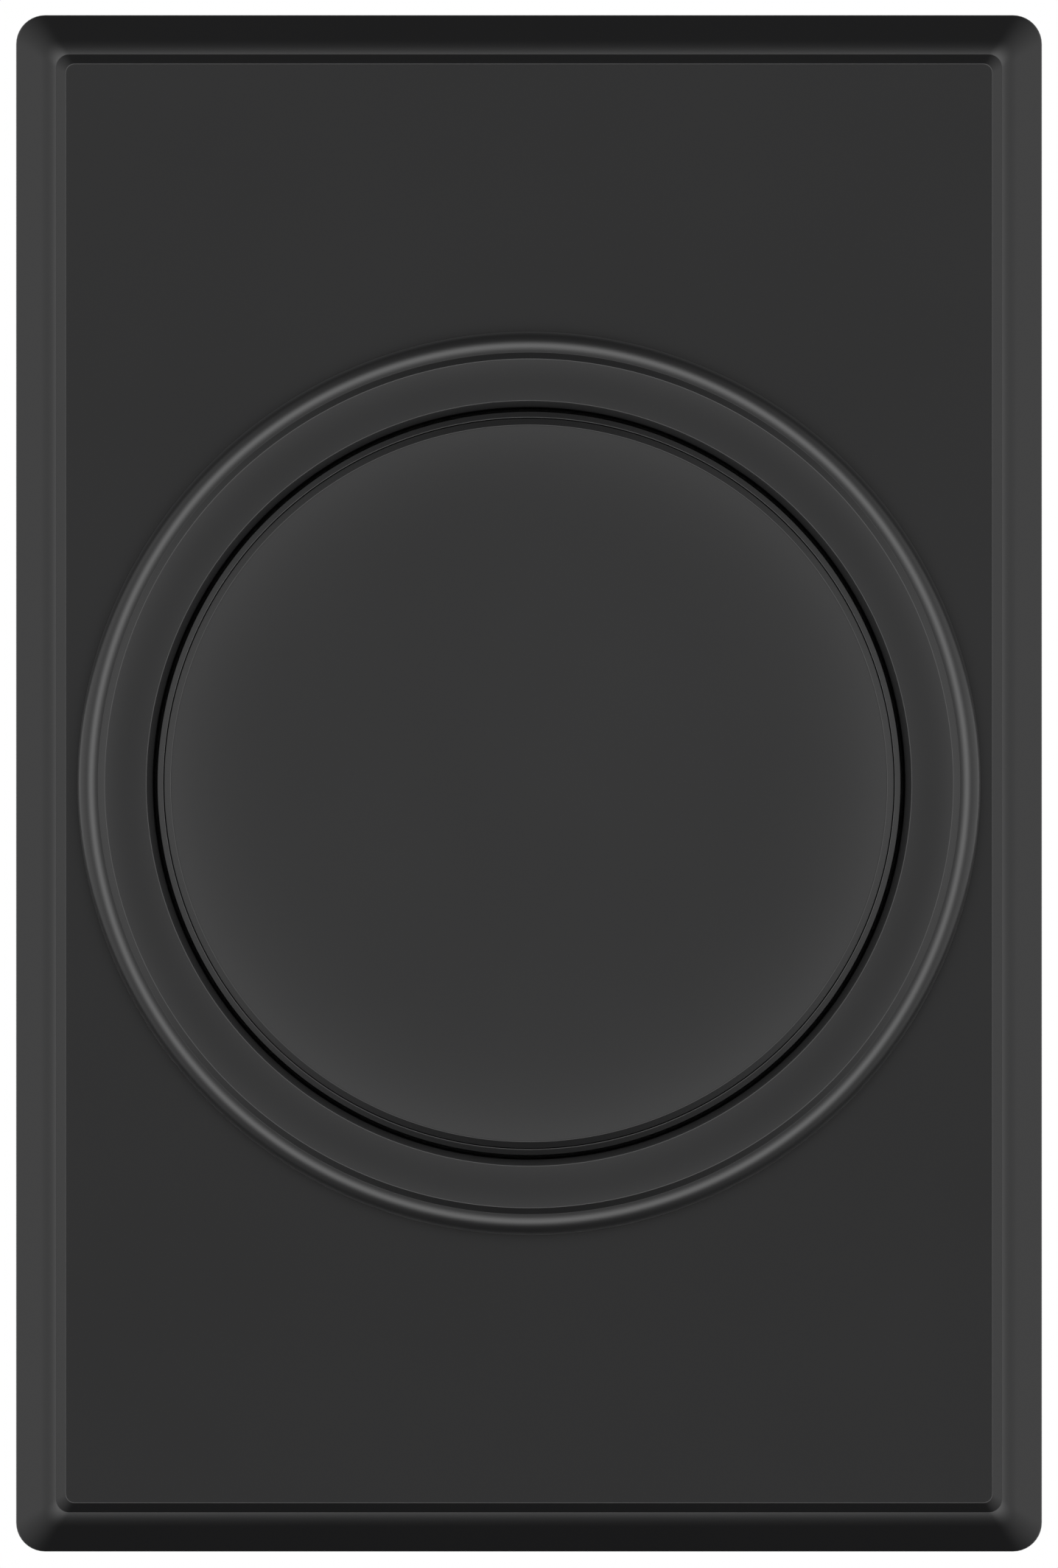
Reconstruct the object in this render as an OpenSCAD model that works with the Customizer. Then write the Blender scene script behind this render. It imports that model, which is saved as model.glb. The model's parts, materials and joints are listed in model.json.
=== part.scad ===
// Wireless doorbell push: a stepped rectangular faceplate with a large round
// push button in a bezel ring, hung on a wall plate.
// The wall is the plane y = 0 and the front looks along -Y, with +Z up.
// Each sub-part is drawn lying on the wall: x right, y up, z out from the wall.

/* [Faceplate] */
// Width of the faceplate
plate_w = 63.5; // [58:0.25:80]
// Height of the faceplate
plate_h = 95.1; // [90:0.1:120]
// Height of the raised field above the wall
plate_depth = 15; // [14.5:0.1:20]
// Radius of the faceplate's outer corners
plate_corner_r = 1.8; // [1.2:0.1:3]
// Thickness of the faceplate's skirt
skirt_wall = 2; // [1.6:0.1:2.6]
// Thickness of the faceplate's front
front_wall = 2; // [1.6:0.1:3]
// Gap between the faceplate's skirt and the wall
wall_gap = 0.5; // [0.3:0.1:1]

/* [Edge moulding] */
// Radius that breaks the outer edge
edge_round = 0.3; // [0.2:0.05:0.5]
// Width of the outer slope
slope_run = 1.5; // [0.9:0.05:1.6]
// Tilt of the outer slope
slope_tilt = 42; // [35:1:50]
// Radius of the bead above the slope
bead_r = 4.4; // [0.8:0.1:5]
// Tilt left at the crest of the bead
bead_crest_tilt = 27; // [4:1:30]
// Width of the step up to the field
step_run = 0.6; // [0.2:0.05:0.8]
// Height of the step up to the field
step_rise = 0.55; // [0.3:0.05:0.8]

/* [Bezel ring] */
// Width of the bezel ring, from its bore to its outer edge
bezel_w = 4.7; // [4.4:0.01:7]
// Height of the bezel's rim above the field
bezel_rim_rise = 1.6; // [1.2:0.1:2.5]
// Radius of the bezel's outer round
bezel_round = 1.3; // [0.8:0.1:1.5]
// Distance in from the bezel's outer edge to its step
bezel_step_in = 1.32; // [1.2:0.01:1.8]
// Width of the slope up the bezel's step
bezel_step_run = 0.4; // [0.2:0.05:0.5]
// Height of the bezel's step
bezel_step_rise = 0.4; // [0.2:0.05:0.8]
// Height of the crown across the bezel's land
bezel_crown = 0.06; // [0.02:0.01:0.2]
// Width of the chamfer inside the bezel's land
bezel_lip = 0.4; // [0.2:0.05:1]
// Depth of the chamfer inside the bezel's land
bezel_lip_drop = 0.3; // [0.1:0.02:1]
// Wall of the bezel's spigot
spigot_wall = 1.5; // [1.2:0.1:1.6]
// Gap between the bezel's spigot and the faceplate's hole
spigot_gap = 0.2; // [0.1:0.05:0.3]

/* [Push button] */
// Outer radius of the button
button_r = 22.87; // [22.4:0.01:24]
// Gap around the button in the bezel's bore
button_gap = 0.3; // [0.2:0.01:0.6]
// Height of the button's edge above the field
button_rise = 3; // [2.6:0.1:4]
// Depth of the finger dish
dish_depth = 0.7; // [0.3:0.05:0.8]
// Shape of the finger dish, from 2 for an even curve to 6 for a flat middle
dish_power = 4.5; // [2:0.5:6]
// Travel of the button
button_travel = 1.5; // [0.8:0.1:1.5]
// Width of the carrier's rim around the cap
carrier_rim = 0.37; // [0.3:0.01:0.6]
// Drop from the cap's edge to the carrier's rim
carrier_rim_drop = 0.4; // [0.2:0.05:0.6]
// Slope across the carrier's rim
carrier_rim_bevel = 0.35; // [0.1:0.05:0.5]
// Gap between the cap and the carrier's rim
cap_gap = 0.05; // [0.03:0.01:0.1]
// Bevel on the cap's edge
cap_bevel = 0.4; // [0.2:0.05:0.6]
// Width of the carrier's stop flange
flange_w = 1.35; // [1:0.05:1.5]
// Thickness of the carrier's stop flange
flange_t = 0.8; // [0.6:0.1:1]
// Thickness of the rubber stop ring
stop_t = 0.4; // [0.3:0.1:0.6]

/* [Guides and springs] */
// Gap between the guide bosses and the carrier's skirt
pin_inset = 2.97; // [2.6:0.01:3]
// Number of guide pins
pin_count = 3; // [3:1:4]
// Radius of a guide pin
pin_r = 1; // [0.8:0.05:1.25]
// Running gap between a pin and the carrier
pin_gap = 0.05; // [0.03:0.01:0.1]
// Wire of the return springs
spring_wire = 0.4; // [0.3:0.05:0.5]
// Turns of a return spring
spring_turns = 4; // [3:0.5:5]

/* [Rear case] */
// Thickness of the rear case's side wall
case_wall = 2; // [1.6:0.1:2.4]
// Thickness of the rear case's back
case_back = 2; // [1.6:0.1:2.4]
// Gap between the rear case and the faceplate's skirt
case_gap = 0.15; // [0.1:0.05:0.3]
// Radius of the case screws
case_screw_r = 1.25; // [1:0.05:1.5]

/* [Battery] */
// Radius of the coin cell
cell_r = 10; // [8:0.5:10]
// Thickness of the coin cell
cell_t = 3.2; // [2:0.1:3.2]

/* [Circuit board] */
// Width of the circuit board
board_w = 52; // [40:0.5:52]
// Height of the circuit board
board_h = 68; // [60:0.5:68]
// Thickness of the circuit board
board_t = 1; // [0.8:0.1:1.2]

/* [Wall plate] */
// Width of the wall plate
bracket_w = 48; // [44:0.5:52]
// Thickness of the wall plate
bracket_t = 1.5; // [1.2:0.1:2]
// Distance between the two wall screws
wall_screw_spacing = 54; // [50:1:56]
// Width of a wall screw's slot
slot_w = 4.5; // [3.5:0.1:5]
// Length of a wall screw's slot
slot_l = 9; // [7:0.5:10]

/* [Hidden] */
$fn = 96;
// Extra length that carries a cut past a face
past = 1;
// Gap between a screw and the hole that it threads into
thread_gap = 0.02;
// Gap around a screw's shank in a clearance hole
shank_gap = 0.15;

// Heights above the wall
field_z = plate_depth;
front_under_z = field_z - front_wall;
case_back_z = bracket_t;
case_floor_z = case_back_z + case_back;
case_rim_gap = 0.2;
case_rim_z = front_under_z - case_rim_gap;
board_z = case_floor_z + 3.5;
board_top_z = board_z + board_t;
rim_z = field_z + bezel_rim_rise;
land_z = rim_z + bezel_step_rise;
spigot_end_z = field_z - 3.5;
flange_top_z = spigot_end_z - stop_t;
flange_z = flange_top_z - flange_t;
button_z = field_z + button_rise;
carrier_rim_z = button_z - carrier_rim_drop;
cap_under_z = button_z - 1.6;
web_t = 1;
web_top_z = cap_under_z - 1.4;
web_z = web_top_z - web_t;
plunger_z = web_z - 1;

// Edge moulding, as points [distance in from the edge, height above the wall]
function arc(cx, cz, r, from, to, n) =
    [for (i = [0:n]) let (a = from + (to - from) * i / n) [cx + r * sin(a), cz + r * cos(a)]];
step_x = edge_round * (1 - sin(slope_tilt)) + slope_run
       + bead_r * (sin(slope_tilt) - sin(bead_crest_tilt));
bead_top_z = field_z - step_rise;
bead_cz = bead_top_z - bead_r * cos(bead_crest_tilt);
bead_cx = step_x + bead_r * sin(bead_crest_tilt);
slope_top_z = bead_cz + bead_r * cos(slope_tilt);
slope_foot_z = slope_top_z - slope_run * tan(slope_tilt);
edge_cz = slope_foot_z - edge_round * cos(slope_tilt);
edge_profile = concat(
    arc(edge_round, edge_cz, edge_round, -90, -slope_tilt, 4),
    arc(bead_cx, bead_cz, bead_r, -slope_tilt, -bead_crest_tilt, 8),
    [[step_x + step_run, field_z]]);

// Round piece, radii
bore_r = button_r + button_gap;
bezel_r = bore_r + bezel_w;
bezel_step_r = bezel_r - bezel_step_in;
spigot_r = bore_r + spigot_wall;
plate_hole_r = spigot_r + spigot_gap;
carrier_lip_r = button_r - carrier_rim;
cap_r = carrier_lip_r - cap_gap;
carrier_wall = 1.5;
carrier_in_r = button_r - carrier_wall;
flange_r = button_r + flange_w;
crown_in_r = bore_r + bezel_lip;
crown_out_r = bezel_step_r - bezel_step_run;

// Bezel clip and gasket
clip_t = 1;
clip_r = spigot_r + 1.5;
clip_depth = 0.8;
clip_slack = 0.05;
clip_opening = 24;
clip_ear_r = 1.5;
clip_hole_r = 0.6;
gasket_w = 1.1;
gasket_t = 0.6;
gasket_slack = 0.05;
gasket_in_r = plate_hole_r + 0.6;

// Guide pins, springs and their bosses
pin_boss_r = 2.5;
pin_boss_z = board_top_z + 0.4;
pin_foot_z = case_floor_z + 1;
guide_boss_r = 2.4;
pin_circle_r = carrier_in_r - guide_boss_r - pin_inset;
guide_boss_z = web_z - 1.6;
pin_top_z = web_top_z - 0.5;
spring_mean_r = pin_r + 0.3 + spring_wire / 2;
pin_angle = 90;

// Cap screws
cap_screw_r = 1;
cap_head_r = 1.9;
cap_head_t = 1;
cap_boss_r = 2;
cap_screw_circle_r = 11;
cap_screw_angle = 30;
cap_screw_count = 3;
cap_thread_cover = 0.5;

// Rear case
case_w = plate_w - 2 * (skirt_wall + case_gap);
case_h = plate_h - 2 * (skirt_wall + case_gap);
case_corner_r = 1.5;
case_in_w = case_w - 2 * case_wall;
case_in_h = case_h - 2 * case_wall;
case_in_r = 1;
seal_w = 0.9;
seal_t = 1;
seal_slack = 0.05;
seal_x = (case_wall - seal_w) / 2;
column_r = 3.2;
column_x = case_in_w / 2 - column_r + 0.1;
column_y = case_in_h / 2 - column_r + 0.2;
column_top_z = board_top_z;
post_gap = 0.05;
post_r = 2.9;
case_head_r = 2.3;
case_head_t = 1.4;
case_head_gap = 0.2;
case_thread_l = 4;

// Board screws and standoffs
standoff_r = 2.5;
standoff_x = board_w / 2 - 4;
standoff_y = board_h / 2 - 8;
board_screw_r = 1;
board_head_r = 1.9;
board_head_t = 1.1;
board_corner_r = 2;
board_hole_gap = 0.3;

// Switch
switch_w = 12;
switch_corner_r = 0.8;
switch_floor_t = 0.8;
switch_cover_t = 0.4;
switch_cover_z = plunger_z - button_travel - switch_cover_t;
switch_cavity_r = 4.2;
plunger_r = 3;
plunger_gap = 0.1;
plunger_flange_r = 3.9;
plunger_flange_t = 0.7;
plunger_cup_r = 2.3;
plunger_roof_t = 0.6;
switch_spring_r = 1.8;
switch_wire = 0.3;
switch_turns = 5;

// Board parts
chip_w = 7;
chip_t = 0.9;
chip_lead_l = 0.9;
chip_lead_w = 0.35;
chip_lead_t = 0.2;
chip_leads = 8;
chip_lead_pitch = 0.8;
chip_x = -9;
parts_y = board_h / 2 - 4.6;
crystal_l = 5;
crystal_w = 3.2;
crystal_t = 1.1;
crystal_x = 0;
coil_r = 1.6;
coil_wire = 0.6;
coil_turns = 7;
coil_l = 8.4;
coil_x = 7;
passive_l = 2;
passive_w = 1.25;
passive_t = 0.7;
passive_count = 6;
passive_pitch = 3;
passive_end = 0.35;

// Battery well, cover and contacts
well_r = cell_r + 1.3;
well_wall = 1.2;
well_top_z = board_z - 0.1;
cover_r = well_r + 1.15;
cover_gap = 0.15;
cover_head_t = 0.7;
cover_z = case_back_z + 0.1;
cover_seal_t = 0.4;
cover_ledge_z = cover_z + cover_head_t + cover_seal_t;
cover_slot_w = 1.6;
cover_slot_l = 14;
cover_slot_d = 0.9;
cell_z = case_floor_z + 0.05;
cell_edge = 0.6;
cell_rim_w = 1.2;
cell_rim_t = 0.3;
battery_strip_t = 0.35;
battery_strip_gap = 0.15;
battery_strip_angle = 70;
battery_pad_w = 3;
battery_pad_l = 9;

// Wall plate, hook and lock tab
tab_t = 1.2;
tab_w = 10;
tab_l = 7.5;
tab_y = case_in_h / 2 - 2.3;
bracket_h = 2 * tab_y;
bracket_corner_r = 3;
pocket_gap = 1.2;
pocket_wall = 1;
pocket_h = 4.6;
hook_w = 12;
hook_neck_y = case_in_h / 2 - 5.2;
hook_lip = 2.4;
hook_z = case_floor_z + 0.4;
hook_pocket_h = hook_z + tab_t + 0.8 - case_floor_z;
lock_z = case_back_z + 4.5;
lock_r = 1.25;
lock_head_r = 2.2;
lock_head_t = 1.2;
lock_head_sunk = 0.2;
recess_w = 11;
recess_l = 11;
recess_d = 3.5;

// Screw drive recess
drive_r = 0.9;
drive_d = 0.6;

// Colours
graphite = [0.13, 0.13, 0.135];
black_plastic = [0.09, 0.09, 0.095];
rubber_black = [0.05, 0.05, 0.05];
steel = [0.72, 0.73, 0.75];
zinc = [0.62, 0.64, 0.66];
board_green = [0.08, 0.32, 0.18];
copper = [0.72, 0.43, 0.24];

// Turns a drawing made on the wall's plane so that its height points along -Y
module stand() {
    rotate([90, 0, 0]) children();
}

// Puts children at each of the four corners of a rectangle
module at_corners(x, y) {
    for (sx = [-1, 1])
        for (sy = [-1, 1])
            translate([sx * x, sy * y, 0]) children();
}

// Puts children evenly round a circle, from a first angle
module around(count, radius, first) {
    for (i = [0:count - 1])
        rotate([0, 0, first + i * 360 / count])
            translate([radius, 0, 0]) children();
}

// Rectangle with round corners
module round_rect(w, h, r) {
    square([w - 2 * r, h], center = true);
    square([w, h - 2 * r], center = true);
    for (sx = [-1, 1])
        for (sy = [-1, 1])
            translate([sx * (w / 2 - r), sy * (h / 2 - r)]) circle(r);
}

// Slab with round corners between two heights
module slab(w, h, r, z0, z1) {
    translate([0, 0, z0]) linear_extrude(z1 - z0) round_rect(w, h, r);
}

// Box centred in x, from y0 to y1 and from z0 to z1
module bar(w, y0, y1, z0, z1) {
    translate([-w / 2, y0, z0]) cube([w, y1 - y0, z1 - z0]);
}

// Disc between two heights
module disc(r, z0, z1) {
    translate([0, 0, z0]) cylinder(r = r, h = z1 - z0);
}

// Ring between two heights
module ring(r_in, r_out, z0, z1) {
    difference() {
        disc(r_out, z0, z1);
        disc(r_in, z0 - past, z1 + past);
    }
}

// Upright slot with round ends
module slot(w, l, z0, z1) {
    translate([0, 0, z0]) linear_extrude(z1 - z0) union() {
        square([w, l - w], center = true);
        for (s = [-1, 1])
            translate([0, s * (l - w) / 2]) circle(w / 2);
    }
}

// Screw with its head's underside at z = 0 and its tip at z = length
module screw(r, length, head_r, head_t) {
    difference() {
        union() {
            disc(r, -head_t / 2, length);
            disc(head_r, -head_t, 0);
        }
        translate([0, 0, -head_t - past]) cylinder(r = drive_r, h = drive_d + past, $fn = 6);
    }
}

// Helical wire of a number of turns between two heights
function helix_frame(r, z0, z1, turns, t) =
    [r * cos(360 * turns * t), r * sin(360 * turns * t), z0 + (z1 - z0) * t, 360 * turns * t];
module helix(r, wire, z0, z1, turns) {
    sides = 6;
    steps = turns * 12;
    low = z0 + wire / 2;
    high = z1 - wire / 2;
    rings = [for (i = [0:steps]) helix_frame(r, low, high, turns, i / steps)];
    points = [for (p = rings)
        for (k = [0:sides - 1])
            let (a = 90 + 360 * k / sides)
            [p[0] + wire / 2 * cos(a) * cos(p[3]),
             p[1] + wire / 2 * cos(a) * sin(p[3]),
             p[2] + wire / 2 * sin(a)]];
    walls = [for (i = [0:steps - 1])
        for (k = [0:sides - 1])
            let (n = (k + 1) % sides)
            [i * sides + k, i * sides + n, (i + 1) * sides + n, (i + 1) * sides + k]];
    start = [for (k = [sides - 1:-1:0]) k];
    end = [for (k = [0:sides - 1]) steps * sides + k];
    polyhedron(points = points, faces = concat(walls, [start, end]), convexity = 10);
}

// Section across the faceplate of a given width
module moulded_section(w) {
    left = [for (p = edge_profile) [-w / 2 + p[0], p[1]]];
    right = [for (i = [len(edge_profile) - 1:-1:0])
        [w / 2 - edge_profile[i][0], edge_profile[i][1]]];
    polygon(concat([[-w / 2, wall_gap]], left, right, [[w / 2, wall_gap]]));
}

// Solid block with the mitred edge moulding all round
module moulded_block() {
    intersection() {
        rotate([90, 0, 0])
            linear_extrude(plate_h + past, center = true) moulded_section(plate_w);
        rotate([90, 0, 90])
            linear_extrude(plate_w + past, center = true) moulded_section(plate_h);
        slab(plate_w, plate_h, plate_corner_r, 0, field_z + past);
    }
}

module faceplate() {
    color(graphite) stand() {
        difference() {
            union() {
                difference() {
                    moulded_block();
                    slab(plate_w - 2 * skirt_wall, plate_h - 2 * skirt_wall, case_corner_r,
                         0, front_under_z);
                }
                at_corners(column_x, column_y)
                    disc(post_r, column_top_z + post_gap, field_z - front_wall / 2);
            }
            disc(plate_hole_r, front_under_z - past, field_z + past);
            at_corners(column_x, column_y)
                disc(case_screw_r + thread_gap, column_top_z, column_top_z + case_thread_l);
            translate([0, -plate_h / 2, lock_z]) rotate([-90, 0, 0]) {
                disc(lock_r + shank_gap, -past, skirt_wall + past);
                disc(lock_head_r + shank_gap, -past, lock_head_sunk + lock_head_t);
            }
        }
    }
}

module bezel_ring() {
    crown_mid_r = (crown_in_r + crown_out_r) / 2;
    crown_half = (crown_out_r - crown_in_r) / 2;
    crown_R = (crown_half * crown_half + bezel_crown * bezel_crown) / (2 * bezel_crown);
    crown_a = asin(crown_half / crown_R);
    rim_round = min(bezel_round, bezel_step_in - 0.02, bezel_rim_rise - 0.1);
    color(graphite) stand() {
        difference() {
            rotate_extrude() polygon(concat(
                [[bore_r, spigot_end_z], [spigot_r, spigot_end_z], [spigot_r, field_z],
                 [bezel_r, field_z]],
                arc(bezel_r - rim_round, rim_z - rim_round, rim_round, 90, 0, 8),
                [[bezel_step_r, rim_z]],
                arc(crown_mid_r, land_z + bezel_crown - crown_R, crown_R, crown_a, -crown_a, 8),
                [[bore_r, land_z - bezel_lip_drop]]));
            ring(gasket_in_r, gasket_in_r + gasket_w, field_z - past, field_z + gasket_t);
            ring(spigot_r - clip_depth, spigot_r + past,
                 front_under_z - clip_t - clip_slack, front_under_z + clip_slack);
        }
    }
}

module bezel_gasket() {
    color(rubber_black) stand()
        ring(gasket_in_r + gasket_slack, gasket_in_r + gasket_w - gasket_slack,
             field_z, field_z + gasket_t);
}

module bezel_clip() {
    clip_in_r = spigot_r - clip_depth + clip_slack;
    ear_angle = 270 + clip_opening / 2;
    ear_circle_r = clip_r - clip_ear_r / 2;
    color(steel) stand() translate([0, 0, front_under_z - clip_t]) difference() {
        union() {
            rotate([0, 0, ear_angle]) rotate_extrude(angle = 360 - clip_opening)
                translate([clip_in_r, 0]) square([clip_r - clip_in_r, clip_t]);
            for (side = [-1, 1])
                rotate([0, 0, 270 + side * clip_opening / 2])
                    translate([ear_circle_r, 0, 0]) cylinder(r = clip_ear_r, h = clip_t);
        }
        for (side = [-1, 1])
            rotate([0, 0, 270 + side * clip_opening / 2])
                translate([ear_circle_r, 0, 0]) disc(clip_hole_r, -past, clip_t + past);
        disc(clip_in_r, -past, clip_t + past);
    }
}

module push_cap() {
    face_r = cap_r - cap_bevel;
    dish_steps = 16;
    dish = [for (i = [0:dish_steps])
        [face_r * i / dish_steps, button_z - dish_depth * (1 - pow(i / dish_steps, dish_power))]];
    color(graphite) stand() difference() {
        union() {
            rotate_extrude() polygon(concat(
                dish, [[cap_r, button_z - cap_bevel], [cap_r, cap_under_z], [0, cap_under_z]]));
            around(cap_screw_count, cap_screw_circle_r, cap_screw_angle)
                disc(cap_boss_r, web_top_z, cap_under_z + cap_thread_cover / 2);
        }
        around(cap_screw_count, cap_screw_circle_r, cap_screw_angle)
            disc(cap_screw_r + thread_gap, web_top_z - past, cap_under_z + cap_thread_cover);
    }
}

module button_carrier() {
    color(black_plastic) stand() difference() {
        union() {
            rotate_extrude() polygon([
                [0, web_z], [carrier_in_r, web_z], [carrier_in_r, flange_z],
                [flange_r, flange_z], [flange_r, flange_top_z], [button_r, flange_top_z],
                [button_r, carrier_rim_z - carrier_rim_bevel], [carrier_lip_r, carrier_rim_z],
                [carrier_lip_r, cap_under_z], [carrier_in_r, cap_under_z],
                [carrier_in_r, web_top_z], [0, web_top_z]]);
            disc(plunger_r, plunger_z, web_z + web_t / 2);
            around(pin_count, pin_circle_r, pin_angle)
                disc(guide_boss_r, guide_boss_z, web_z + web_t / 2);
        }
        around(pin_count, pin_circle_r, pin_angle)
            disc(pin_r + pin_gap, guide_boss_z - past, web_top_z + past);
        around(cap_screw_count, cap_screw_circle_r, cap_screw_angle)
            disc(cap_screw_r + shank_gap, web_z - past, web_top_z + past);
    }
}

module cap_screws() {
    color(steel) stand()
        around(cap_screw_count, cap_screw_circle_r, cap_screw_angle)
            translate([0, 0, web_z])
                screw(cap_screw_r, cap_under_z - web_z, cap_head_r, cap_head_t);
}

module stop_ring() {
    color(rubber_black) stand()
        ring(button_r, flange_r, flange_top_z, spigot_end_z);
}

module return_springs() {
    color(steel) stand()
        around(pin_count, pin_circle_r, pin_angle)
            helix(spring_mean_r, spring_wire, pin_boss_z, guide_boss_z, spring_turns);
}

module guide_pins() {
    color(steel) stand()
        around(pin_count, pin_circle_r, pin_angle)
            disc(pin_r, pin_foot_z, pin_top_z);
}

// Hollow in the back of the rear case for the wall plate's lock tab
module lock_pocket(grow) {
    bar(tab_w + 2 * (pocket_gap + grow), -case_in_h / 2 - grow, -tab_y + tab_t + pocket_gap + grow,
        case_back_z - past + grow, case_back_z + tab_l + pocket_gap + grow);
}

// Hollow in front of the rear case's back for the wall plate's hook
module hook_pocket(grow) {
    bar(hook_w + 2 * (pocket_gap + grow),
        hook_neck_y - hook_lip - pocket_gap - grow,
        hook_neck_y + tab_t + hook_lip + pocket_gap / 2 + grow,
        case_floor_z - (grow > 0 ? case_back / 2 : past), case_floor_z + hook_pocket_h + grow);
}

// Hollow in the rear case's back for a wall screw's head
module screw_recess(grow) {
    slab(recess_w + 2 * grow, recess_l + 2 * grow, pocket_wall + grow,
         case_back_z - past + 2 * grow, case_back_z + recess_d + grow);
}

module rear_case() {
    color(black_plastic) stand() difference() {
        union() {
            difference() {
                slab(case_w, case_h, case_corner_r, case_back_z, case_rim_z);
                slab(case_in_w, case_in_h, case_in_r, case_floor_z, case_rim_z + past);
            }
            intersection() {
                slab(case_w - case_wall, case_h - case_wall, case_corner_r,
                     case_back_z, case_rim_z - past);
                union() {
                    at_corners(column_x, column_y) disc(column_r, case_back_z, column_top_z);
                    at_corners(standoff_x, standoff_y) disc(standoff_r, case_back_z, board_z);
                    around(pin_count, pin_circle_r, pin_angle)
                        disc(pin_boss_r, case_back_z, pin_boss_z);
                    disc(well_r + well_wall, case_back_z, well_top_z);
                    lock_pocket(pocket_wall);
                    hook_pocket(pocket_wall);
                    for (s = [-1, 1])
                        translate([0, s * wall_screw_spacing / 2, 0]) screw_recess(pocket_wall);
                }
            }
        }
        difference() {
            slab(case_w - 2 * seal_x, case_h - 2 * seal_x, case_corner_r - seal_x,
                 front_under_z - seal_t, case_rim_z + past);
            slab(case_in_w + 2 * seal_x, case_in_h + 2 * seal_x, case_in_r + seal_x,
                 front_under_z - seal_t - past, case_rim_z + 2 * past);
        }
        disc(well_r, case_back_z - past, board_z + past);
        disc(cover_r + cover_gap, case_back_z - past, cover_ledge_z);
        around(pin_count, pin_circle_r, pin_angle) disc(pin_r, pin_foot_z, pin_boss_z + past);
        at_corners(column_x, column_y) {
            disc(case_screw_r + shank_gap, case_back_z - past, column_top_z + past);
            disc(case_head_r + shank_gap, case_back_z - past,
                 case_back_z + case_head_gap + case_head_t);
        }
        at_corners(standoff_x, standoff_y)
            disc(board_screw_r + thread_gap, case_floor_z, board_z + past);
        lock_pocket(0);
        hook_pocket(0);
        bar(hook_w + 2 * pocket_gap, hook_neck_y - hook_lip - pocket_gap,
            hook_neck_y + tab_t + shank_gap, case_back_z - past, case_floor_z + past);
        for (s = [-1, 1])
            translate([0, s * wall_screw_spacing / 2, 0]) screw_recess(0);
        translate([0, -case_h / 2, lock_z]) rotate([-90, 0, 0])
            disc(lock_r + shank_gap, -past, case_wall + past);
    }
}

module case_seal() {
    out_w = case_w - 2 * (seal_x + seal_slack);
    out_h = case_h - 2 * (seal_x + seal_slack);
    in_w = case_in_w + 2 * (seal_x + seal_slack);
    in_h = case_in_h + 2 * (seal_x + seal_slack);
    color(rubber_black) stand() difference() {
        slab(out_w, out_h, case_corner_r - seal_x - seal_slack,
             front_under_z - seal_t, front_under_z);
        slab(in_w, in_h, case_in_r + seal_x + seal_slack,
             front_under_z - seal_t - past, front_under_z + past);
    }
}

module case_screws() {
    head_z = case_back_z + case_head_gap + case_head_t;
    color(zinc) stand() at_corners(column_x, column_y)
        translate([0, 0, head_z])
            screw(case_screw_r, column_top_z + case_thread_l - head_z - past / 2,
                  case_head_r, case_head_t);
}

module circuit_board() {
    color(board_green) stand() difference() {
        slab(board_w, board_h, board_corner_r, board_z, board_top_z);
        around(pin_count, pin_circle_r, pin_angle)
            disc(pin_boss_r + board_hole_gap, board_z - past, board_top_z + past);
        at_corners(standoff_x, standoff_y)
            disc(board_screw_r + shank_gap, board_z - past, board_top_z + past);
    }
}

module board_screws() {
    color(zinc) stand() at_corners(standoff_x, standoff_y)
        translate([0, 0, board_top_z]) mirror([0, 0, 1])
            screw(board_screw_r, board_top_z - case_floor_z - past / 2,
                  board_head_r, board_head_t);
}

module switch_body() {
    color(black_plastic) stand() difference() {
        slab(switch_w, switch_w, switch_corner_r, board_top_z, switch_cover_z);
        disc(switch_cavity_r, board_top_z + switch_floor_t, switch_cover_z + past);
    }
}

module switch_cover() {
    color(steel) stand() difference() {
        slab(switch_w, switch_w, switch_corner_r, switch_cover_z,
             switch_cover_z + switch_cover_t);
        disc(plunger_r + plunger_gap, switch_cover_z - past, switch_cover_z + past);
    }
}

module switch_plunger() {
    foot_z = switch_cover_z - plunger_flange_t;
    color([0.75, 0.12, 0.1]) stand() rotate_extrude() polygon([
        [plunger_cup_r, foot_z], [plunger_flange_r, foot_z],
        [plunger_flange_r, switch_cover_z], [plunger_r, switch_cover_z],
        [plunger_r, plunger_z], [0, plunger_z],
        [0, plunger_z - plunger_roof_t], [plunger_cup_r, plunger_z - plunger_roof_t]]);
}

module switch_spring() {
    color(steel) stand()
        helix(switch_spring_r, switch_wire, board_top_z + switch_floor_t,
              plunger_z - plunger_roof_t, switch_turns);
}

module controller_chip() {
    color([0.1, 0.1, 0.11]) stand() translate([chip_x, parts_y, board_top_z]) {
        translate([0, 0, chip_lead_t]) linear_extrude(chip_t) square(chip_w, center = true);
        for (turn = [0:90:270])
            rotate([0, 0, turn])
                for (i = [0:chip_leads - 1])
                    translate([chip_w / 2 - chip_lead_l / 3,
                               (i - (chip_leads - 1) / 2) * chip_lead_pitch - chip_lead_w / 2, 0])
                        cube([chip_lead_l, chip_lead_w, chip_lead_t * 2]);
    }
}

module crystal_can() {
    color(steel) stand() translate([crystal_x, parts_y, 0])
        slab(crystal_w, crystal_l, passive_end, board_top_z, board_top_z + crystal_t);
}

module antenna_coil() {
    color(copper) stand()
        translate([coil_x, parts_y, board_top_z + coil_r + coil_wire / 2])
            rotate([0, 90, 0])
                helix(coil_r, coil_wire, 0, coil_l, coil_turns);
}

module board_passives() {
    color([0.55, 0.45, 0.35]) stand()
        for (i = [0:passive_count - 1])
            translate([(i - (passive_count - 1) / 2) * passive_pitch, -parts_y, board_top_z])
                linear_extrude(passive_t) square([passive_w, passive_l], center = true);
}

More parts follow.
